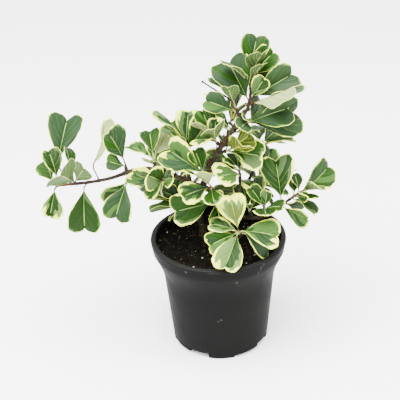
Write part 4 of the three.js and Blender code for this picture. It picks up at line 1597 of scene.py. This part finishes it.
@dataclass
class Foliage:
    """Leaves and twigs of a group of sprigs."""

    name: str
    sprigs: list[Sprig]
    paints: Paintbox
    veins: int = 5
    thick: float = 0.24

    LEAN = 0.22
    FOOT = 0.02
    BESIDE = 0.005
    QUILT = (0.55, 0.9, 1.0, 0.9, 0.55)
    QUILT_HEIGHT = 0.22
    GROOVE = -0.6
    RIB_SUNK = 0.16
    RIDGE = 0.55
    BULGE = 0.035
    RIPPLE = 0.018
    SCALLOP = 0.018
    SLIMMER: Pair = (0, 0.13)
    ZONES = ("vein", "dark", "dark", "dark", "grey", "grey", "blend", "margin", "margin")
    BLENDED = 0.45
    VEIN = "pale vein"
    GREYS = {"grey green": 0.4, "sage green": 0.25, "soft green": 0.35}
    TWIG_SIDES = 12
    LONG_STEM = 40
    OLD_STEM = 20
    SHORT_STEM = 9
    OLD_SHOOT = ("brown shoot", "brown shoot", "red shoot")
    YOUNG_SHOOT = ("brown shoot", "red shoot", "green shoot")
    OLD_SPRIGS = ("left_end", "top", "right_end")
    OLD_PETIOLES = {"red shoot": 0.5, "brown shoot": 0.3, "pale petiole": 0.2}
    YOUNG_PETIOLES = {"red shoot": 0.3, "brown shoot": 0.1, "pale petiole": 0.6}

    def look(self, sprig: Sprig, place: int, rng: np.random.Generator) -> Look:
        """Deals a leaf its colours, those of the photo first.

        Args:
            sprig: its sprig.
            place: its number on the sprig.
            rng: random numbers of its own.

        Returns:
            The look.
        """
        dealt = STYLES.get(sprig.name, "")
        known = len(sprig.plan.leaves) + len(FINER.get(sprig.name, ()))
        order = place if place < FIRST_SPIRAL else place - FIRST_SPIRAL + known
        letter = "B" if sprig.name in DUSKY else pick(rng, OTHERS)
        if order < len(dealt):
            letter = dealt[order]
        style = LETTERS[letter]
        greens = GREENS.get(style, USUAL_GREENS)
        green, second = greens[rng.integers(len(greens))]
        dark = style in (Style.DARK, Style.SLATE)
        weights = [0.62, 0.3, 0.05, 0.03] if dark else [0.5, 0.2, 0.13, 0.17]
        grey = pick(rng, self.GREYS)
        shades = []
        for _ in range(2):
            main, *others = rng.choice([green, second, "soft green", grey], self.veins + 2, p=weights)
            shades.append(list(np.where(rng.random(self.veins + 1) < 0.68, main, others)))
        return Look(
            style=style,
            shades=shades,
            grey=grey,
            margin=str(rng.choice(["ivory", "cream"])),
            side_vein=str(rng.choice(["sage green", "grey green", "green vein"])),
            under=UNDERSIDES.get(letter, ("shaded back", "shaded edge", "shaded edge")),
        )

    def rows(self, rng: np.random.Generator) -> tuple[np.ndarray, np.ndarray, np.ndarray, np.ndarray]:
        """Rows of a blade, with a narrow row along each side vein.

        Args:
            rng: random numbers of the leaf.

        Returns:
            Shares from foot to tip, offsets of the rows beside veins, the sector of each row, and the
            height of its relief.
        """
        veins = np.linspace(0.1, 0.8, self.veins) + rng.uniform(-0.035, 0.035, self.veins)
        ends = [self.FOOT, *veins, 1.0]
        rows = [(self.FOOT, 0.0, 0, 0.0)]
        for k, (low, high) in enumerate(zip(ends, ends[1:])):
            between = np.linspace(low, high, len(self.QUILT) + 2)[1:-1]
            rows += [(t, 0.0, k, height) for t, height in zip(between, self.QUILT)]
            if k < self.veins:
                rows += [(high, -self.BESIDE, k, self.GROOVE), (high, self.BESIDE, k + 1, self.GROOVE)]
        rows.append((1.0, 0.0, self.veins, 0.0))
        t, offset, sector, relief = np.array(rows).T
        return t, offset, sector.astype(int), relief

    def columns(self, leaf: Leaf, look: Look, t: np.ndarray, sector: np.ndarray,
                rng: np.random.Generator) -> np.ndarray:
        """Columns of half a blade, set on the limits of its colours.

        Args:
            leaf: the leaf.
            look: its look.
            t: shares of its rows.
            sector: sectors of its rows.
            rng: random numbers of the leaf.

        Returns:
            For each row the shares from rib to edge: rib, 3 dark, 2 grey and 3 margin columns.
        """
        low, high, dark_low, dark_high = look.style.value
        count = self.veins + 1
        green = high - (high - low) * rng.beta(0.8, 0.8 if look.style is Style.PALE else 1.8, count)
        dark = green * rng.uniform(dark_low, dark_high, count)
        flutter = 0.018 * np.sin(rng.uniform(20, 34) * t + rng.uniform(0, 6))
        flutter = flutter + rng.uniform(-0.014, 0.014, len(t))
        g = np.clip(green[sector] + flutter - 0.08 * np.clip((t - 0.86) / 0.14, 0, 1), 0.1, 0.97)
        d = np.minimum(dark[sector] + 1.5 * flutter + rng.uniform(-0.04, 0.04, len(t)), g - 0.02)
        g[-1], d[-1] = 0.8, 0.6
        half = np.maximum(leaf.outline(t + self.LEAN * np.sin(math.pi * t))[1] * leaf.width / 2, 0.5)
        rib = np.minimum((0.32 - 0.24 * t) / half, 0.3)
        d = np.maximum(d, rib + 0.02)
        g = np.maximum(g, d + 0.015)
        steps = [
            0 * t, rib, rib + (d - rib) / 3, rib + (d - rib) * 2 / 3, d, (d + g) / 2, g,
            g + (1 - g) * 0.35, g + (1 - g) * 0.84, 1 + 0 * t,
        ]
        return np.stack(steps, -1)

    def leaf(self, shell: Shell, leaf: Leaf, look: Look, rng: np.random.Generator) -> None:
        """Adds one blade.

        Args:
            shell: the piece that it joins.
            leaf: the leaf.
            look: its look.
            rng: random numbers of its own.
        """
        t, offset, sector, relief = self.rows(rng)
        right, left = (self.columns(leaf, look, t, sector, rng) for _ in range(2))
        across = np.hstack([-left[:, :0:-1], right])
        n, w = across.shape
        m = w // 2
        reach, side = np.abs(across), np.sign(across)
        slant = self.LEAN * np.sin(math.pi * t)[:, None] * reach
        rows = t[:, None] + slant + offset[:, None] * (1 - 0.7 * reach)
        edge = np.sqrt(np.clip((1 - reach) / 0.1, 0, 1))
        fade = np.clip((1 - rows) / 0.12, 0, 1) * np.clip((rows - self.FOOT) / 0.1, 0, 1)
        quilt = relief[:, None] * np.sin(math.pi * np.clip(reach, 0, 1)) ** 0.7 * self.QUILT_HEIGHT
        ribs = np.zeros_like(reach)
        ribs[:, m] = 1
        bulge = self.BULGE * leaf.width * np.sin(math.pi * reach)
        wave = self.RIPPLE * leaf.length * reach**2 * np.sin(17 * rows + leaf.phase * 2 + side)
        common = (bulge + wave) * fade
        left_slim, right_slim = rng.uniform(*self.SLIMMER), rng.uniform(*self.SLIMMER)
        narrow = np.where(side < 0, left_slim, right_slim) * np.clip(rows / 0.6, 0, 1)
        teeth = np.sin(rng.uniform(34, 48) * rows + leaf.phase + 2 * side)
        scallop = self.SCALLOP * (1 + teeth) * np.clip(rows / 0.5, 0, 1)
        shape = across * (1 - narrow * reach) * (1 - scallop * reach**3)
        top = leaf.blade(shape, rows, common + edge * (self.thick + (quilt - self.RIB_SUNK * ribs) * fade))
        low_ridge = self.RIDGE * ribs * (1 - 0.8 * rows)
        below = common - edge * (self.thick + low_ridge) + 0.8 * edge * quilt * fade
        under = leaf.blade(shape, rows, below)
        upper = np.arange(n * w).reshape(n, w)
        lower = upper + n * w
        for grid in (upper, lower):
            grid[-1, :m] = grid[-1, :m:-1]
        lower[:, 0], lower[:, -1] = upper[:, 0], upper[:, -1]
        faces, names = self.blade_faces(upper, lower, look, sector, rng)
        points = np.vstack([top.reshape(-1, 3), under.reshape(-1, 3)])
        used, index = np.unique(faces[faces >= 0], return_inverse=True)
        packed = faces.copy()
        packed[faces >= 0] = index
        shell.add(points[used], packed, names)

    def blade_faces(self, upper: np.ndarray, lower: np.ndarray, look: Look, sector: np.ndarray,
                    rng: np.random.Generator) -> tuple[np.ndarray, np.ndarray]:
        """Faces of a blade with their finishes.

        Args:
            upper: point numbers of the upper side.
            lower: point numbers of the underside.
            look: the leaf's look.
            sector: sectors of its rows.
            rng: random numbers of the leaf.

        Returns:
            The faces, and the finish of each.
        """
        n, w = upper.shape
        m = w // 2
        blends = rng.random((2, self.veins + 1)) < self.BLENDED
        faces, names = [], []
        for i in range(n - 1):
            vein_row = sector[i] != sector[i + 1]
            for j in range(w - 1):
                half = int(j >= m)
                zone = self.ZONES[j - m if half else m - 1 - j]
                a, b, c, d = upper[i, j], upper[i, j + 1], upper[i + 1, j + 1], upper[i + 1, j]
                faces.append((a, b, c, d))
                if zone == "vein":
                    names.append(self.VEIN)
                elif vein_row and zone in ("dark", "grey"):
                    names.append(look.side_vein)
                elif zone == "dark":
                    names.append(look.shades[half][sector[i]])
                elif zone == "grey":
                    names.append(look.grey)
                elif zone == "blend" and blends[half, sector[i]]:
                    names.append("lime cream")
                else:
                    names.append(look.margin)
                a, b, c, d = lower[i, j], lower[i + 1, j], lower[i + 1, j + 1], lower[i, j + 1]
                faces.append((a, b, c, d))
                pale = vein_row or zone in ("margin", "blend")
                names.append(look.under[2 if zone == "vein" else int(pale)])
        for j in range(w - 1):
            a, b, c, d = upper[0, j + 1], upper[0, j], lower[0, j], lower[0, j + 1]
            trio = [p for k, p in enumerate((a, b, c, d)) if p not in (a, b, c, d)[:k]]
            faces.append((*trio, -1) if len(trio) == 3 else (a, b, c, d))
            names.append(self.VEIN)
        return np.array(faces), np.array(names)

    def petiole(self, shell: Shell, leaf: Leaf, finish: str) -> None:
        """Adds the petiole of a leaf, with a small swelling at its foot and running on into the rib.

        Args:
            shell: the piece that it joins.
            leaf: the leaf.
            finish: name of its finish.
        """
        span = float(np.linalg.norm(leaf.base - leaf.start))
        way = unit(leaf.base - leaf.start)
        near, far = leaf.start + way * span / 3 + UP * 0.04 * span, leaf.base - leaf.along * span / 3
        t = np.linspace(0, 1, max(5, int(span / 1.2)))
        path = cubic((leaf.start, near, far, leaf.base), t)
        into = np.array([0.03, 0.07, 0.12])
        rib = leaf.blade(np.zeros(3), into, np.full(3, -0.22))
        radii = np.concatenate([0.62 + 0.4 * np.exp(-t * span / 1.1), [0.55, 0.46, 0.3]])
        points, faces = tube(np.vstack([path, rib]), radii, 8)
        shell.add(points, faces, finish)

    def stem(self, shell: Shell, sprig: Sprig) -> None:
        """Adds a sprig's stem, with swollen nodes, side buds and the long bud at its tip.

        Args:
            shell: the piece that it joins.
            sprig: the sprig.
        """
        stem, length = sprig.stem, sprig.plan.stem[2]
        t = np.linspace(0, 1, max(8, int(length / 0.8)))
        first = stem.tangent(0)
        path = np.vstack([stem.at(0) - first * 1.6, stem.at(0) - first * 0.8, cubic(stem.points, t)])
        s = np.concatenate([[-1.6, -0.8], t * length])
        radius = stem.radius_at(np.concatenate([[0, 0], t]))
        for share in sorted({self.share_of(sprig, leaf) for leaf in sprig.leaves.values()}):
            radius = radius + 0.22 * np.exp(-(((s - share * length) / 0.9) ** 2))
        radius = radius + 0.35 * np.exp(-((s / 1.3) ** 2))
        radius = radius * (1.28 if length > self.LONG_STEM else 1.1)
        points, faces = tube(path, radius, self.TWIG_SIDES)
        ring = np.minimum(np.arange(len(faces)) // self.TWIG_SIDES, len(s) - 1)
        tones = np.array(self.OLD_SHOOT if length > self.OLD_STEM else self.YOUNG_SHOOT)
        shell.add(points, faces, tones[np.clip((s[ring] / max(length, 12) * 2.6).astype(int), 0, 2)])
        if sprig.name in BARE:
            self.bare_stalk(shell, stem, *BARE[sprig.name])
        tip = 5.2 if length > self.SHORT_STEM else 3.4
        bud(shell, stem.at(1) - stem.tangent(1) * 0.4, stem.tangent(1), tip, 0.95)
        for leaf in sprig.leaves.values():
            share = self.share_of(sprig, leaf)
            out = unit(stem.tangent(share) * 0.8 + unit(leaf.base - leaf.start))
            bud(shell, leaf.start + out * 0.7, out, 1.9, 0.6)

    @staticmethod
    def bare_stalk(shell: Shell, stem: Limb, hour: float, lean: float, length: float) -> None:
        """Adds a thin stalk that has lost its leaf, with a dark dry tip.

        Args:
            shell: the piece that it joins.
            stem: the stem that carries it.
            hour: clock hour of its direction.
            lean: degrees that it leans out to the light.
            length: its length.
        """
        start, way = stem.at(1), aim(hour, lean)
        end = start + way * length
        t = np.linspace(0, 1, 26)
        path = cubic((start, start + stem.tangent(1) * 4, end - way * length * 0.5, end), t)
        points, faces = tube(path, np.linspace(1.0, 0.7, len(t)), 8)
        shell.add(points, faces, "brown shoot")
        knob = end + way * np.array([-0.9, -0.5, 0, 0.6, 1.1])[:, None]
        points, faces = tube(knob, np.array([0.55, 0.95, 1.1, 0.85, 0.3]), 9)
        shell.add(points, faces, "dry tip")

    @staticmethod
    def share_of(sprig: Sprig, leaf: Leaf) -> float:
        """Share of the stem's length at which a leaf starts."""
        t = np.linspace(0, 1, 101)
        return float(t[np.argmin(np.linalg.norm(cubic(sprig.stem.points, t) - leaf.start, axis=1))])

    def build(self) -> list[bpy.types.Object]:
        """Makes the leaves and the twigs, in place of the sprigs' solids.

        Returns:
            One object for the leaves and one for the twigs.
        """
        leaves, twigs = Shell(f"{self.name}_leaves"), Shell(f"{self.name}_twigs")
        for sprig in self.sprigs:
            self.stem(twigs, sprig)
            for place, leaf in sprig.leaves.items():
                rng = np.random.default_rng([sprig.plan.seed, place])
                self.leaf(leaves, leaf, self.look(sprig, place, rng), rng)
                shares = self.OLD_PETIOLES if sprig.name in self.OLD_SPRIGS else self.YOUNG_PETIOLES
                self.petiole(twigs, leaf, pick(rng, shares))
        made = [leaves.build(self.paints.plain), twigs.build(self.paints.plain, smooth=50)]
        for piece in made:
            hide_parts(*(f"sprig_{sprig.name}" for sprig in self.sprigs))
        return made


# Studio

class Studio:
    """Pale floor, soft light and the camera."""

    TARGET = Vector((0, 0, 0.104))
    RISE = LIGHT_RISE
    ROLL = math.radians(1.5)
    DISTANCE = 1.0
    PICTURE = 400
    PIXEL = 0.001 / 1.129
    OFFSET: Pair = (18.2, 35.0)
    SENSOR = 36
    NEAREST = 0.05
    FARTHEST = 30
    FLOOR_SIZE = 12
    FLOOR_COLOUR: Colour = (0.96, 0.96, 0.955)
    SKY = 3.0
    LIT = Vector((0, 0, 0.13))
    LAMPS = {
        "top box": ((-0.25, -0.35, 1.5), (1.3, 1.3), 120),
        "left box": ((-1.5, -0.5, 0.8), (0.7, 1.4), 26),
        "right box": ((1.5, -0.3, 0.9), (0.7, 1.4), 32),
    }

    def floor(self) -> None:
        """Adds the pale floor."""
        bpy.ops.mesh.primitive_plane_add(size=self.FLOOR_SIZE)
        floor = bpy.context.object
        floor.name = "studio floor"
        material = bpy.data.materials.new("pale floor")
        material.use_nodes = True
        Wiring(material.node_tree).feed(material.node_tree.nodes["Principled BSDF"], {
            "Base Color": (*self.FLOOR_COLOUR, 1), "Roughness": 0.7, "Specular IOR Level": 0.0})
        floor.data.materials.append(material)
        floor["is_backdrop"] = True

    def light(self) -> None:
        """Adds the sky, and the soft rectangular lamps that look at the plant."""
        world = bpy.data.worlds.new("white room")
        world.use_nodes = True
        back = world.node_tree.nodes["Background"]
        Wiring(world.node_tree).feed(back, {"Color": (1, 1, 1, 1), "Strength": self.SKY})
        bpy.context.scene.world = world
        for name, (place, size, power) in self.LAMPS.items():
            light = bpy.data.lights.new(name, "AREA")
            light.shape = "RECTANGLE"
            light.size, light.size_y = size
            light.energy = power
            lamp = placed(name, light)
            lamp.location = place
            lamp.rotation_mode = "QUATERNION"
            lamp.rotation_quaternion = (self.LIT - lamp.location).to_track_quat("-Z", "Y")

    def camera(self) -> None:
        """Adds the camera, turned so that the middle of the lip falls where the photo has it."""
        right, up = Vector((1, 0, 0)), Vector((0, math.sin(self.RISE), math.cos(self.RISE)))
        back = right.cross(up)
        c, s = math.cos(self.ROLL), math.sin(self.ROLL)
        right, up = right * c - up * s, right * s + up * c
        place = self.TARGET + back * self.DISTANCE
        middle = self.TARGET - right * (self.OFFSET[0] * self.PIXEL) + up * (self.OFFSET[1] * self.PIXEL)
        back = (place - middle).normalized()
        right = up.cross(back).normalized()
        up = back.cross(right)
        data = bpy.data.cameras.new("camera")
        data.sensor_width = self.SENSOR
        data.lens = self.SENSOR * (place - middle).length / (self.PICTURE * self.PIXEL)
        data.clip_start, data.clip_end = self.NEAREST, self.FARTHEST
        camera = placed("camera", data)
        camera.matrix_world = Matrix.Translation(place) @ Matrix((right, up, back)).transposed().to_4x4()
        bpy.context.scene.camera = camera

    def build(self) -> None:
        """Adds all of it."""
        self.floor()
        self.light()
        self.camera()


GROUPS = {
    "left": ("left_end", "left_top", "left_under", "bough_under", "mid_left"),
    "front": ("front", "rim_left", "fork", "fork_front", "centre", "right_low", "right_dark", "right_end"),
    "top": ("top", "top_right", "top_left", "middle_left", "middle_right"),
    "back": ("back_left", "back_right", "back_low", "back_high", "back_mid", "back_side", "back_top"),
}


def corners() -> list[list[float]]:
    """Lowest and highest corner of what is shown."""
    return [list(c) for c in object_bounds()]


def report(pieces: Sequence[bpy.types.Object], nodes: Sequence[str] = ()) -> None:
    """Ties pieces to the frame and logs them.

    Args:
        pieces: the pieces.
        nodes: nodes of the part that they stand for.
    """
    for piece in pieces:
        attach(piece, "root")
        if nodes:
            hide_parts(*nodes)
        piece.data.calc_loop_triangles()
        LOG.info("%s: %d triangles", piece.name, len(piece.data.loop_triangles))


def main() -> None:
    """Builds the plant, its studio and the camera."""
    logging.basicConfig(level=logging.INFO, format="%(name)s: %(message)s")
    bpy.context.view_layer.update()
    paints = Paintbox()
    grower = Grower()
    report([Pot(paints).build()], ["pot"])
    report(PottingMix(paints).build(), ["potting_mix"])
    report([Bark(grower, paints).build()], list(LIMBS))
    for name, members in GROUPS.items():
        sprigs = [sprig for sprig in grower.sprigs if sprig.name in members]
        report(Foliage(name, sprigs, paints).build())
    LOG.info("leaves: %d", sum(len(sprig.leaves) for sprig in grower.sprigs))
    Studio().build()
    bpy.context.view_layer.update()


if __name__ == "__main__":
    main()
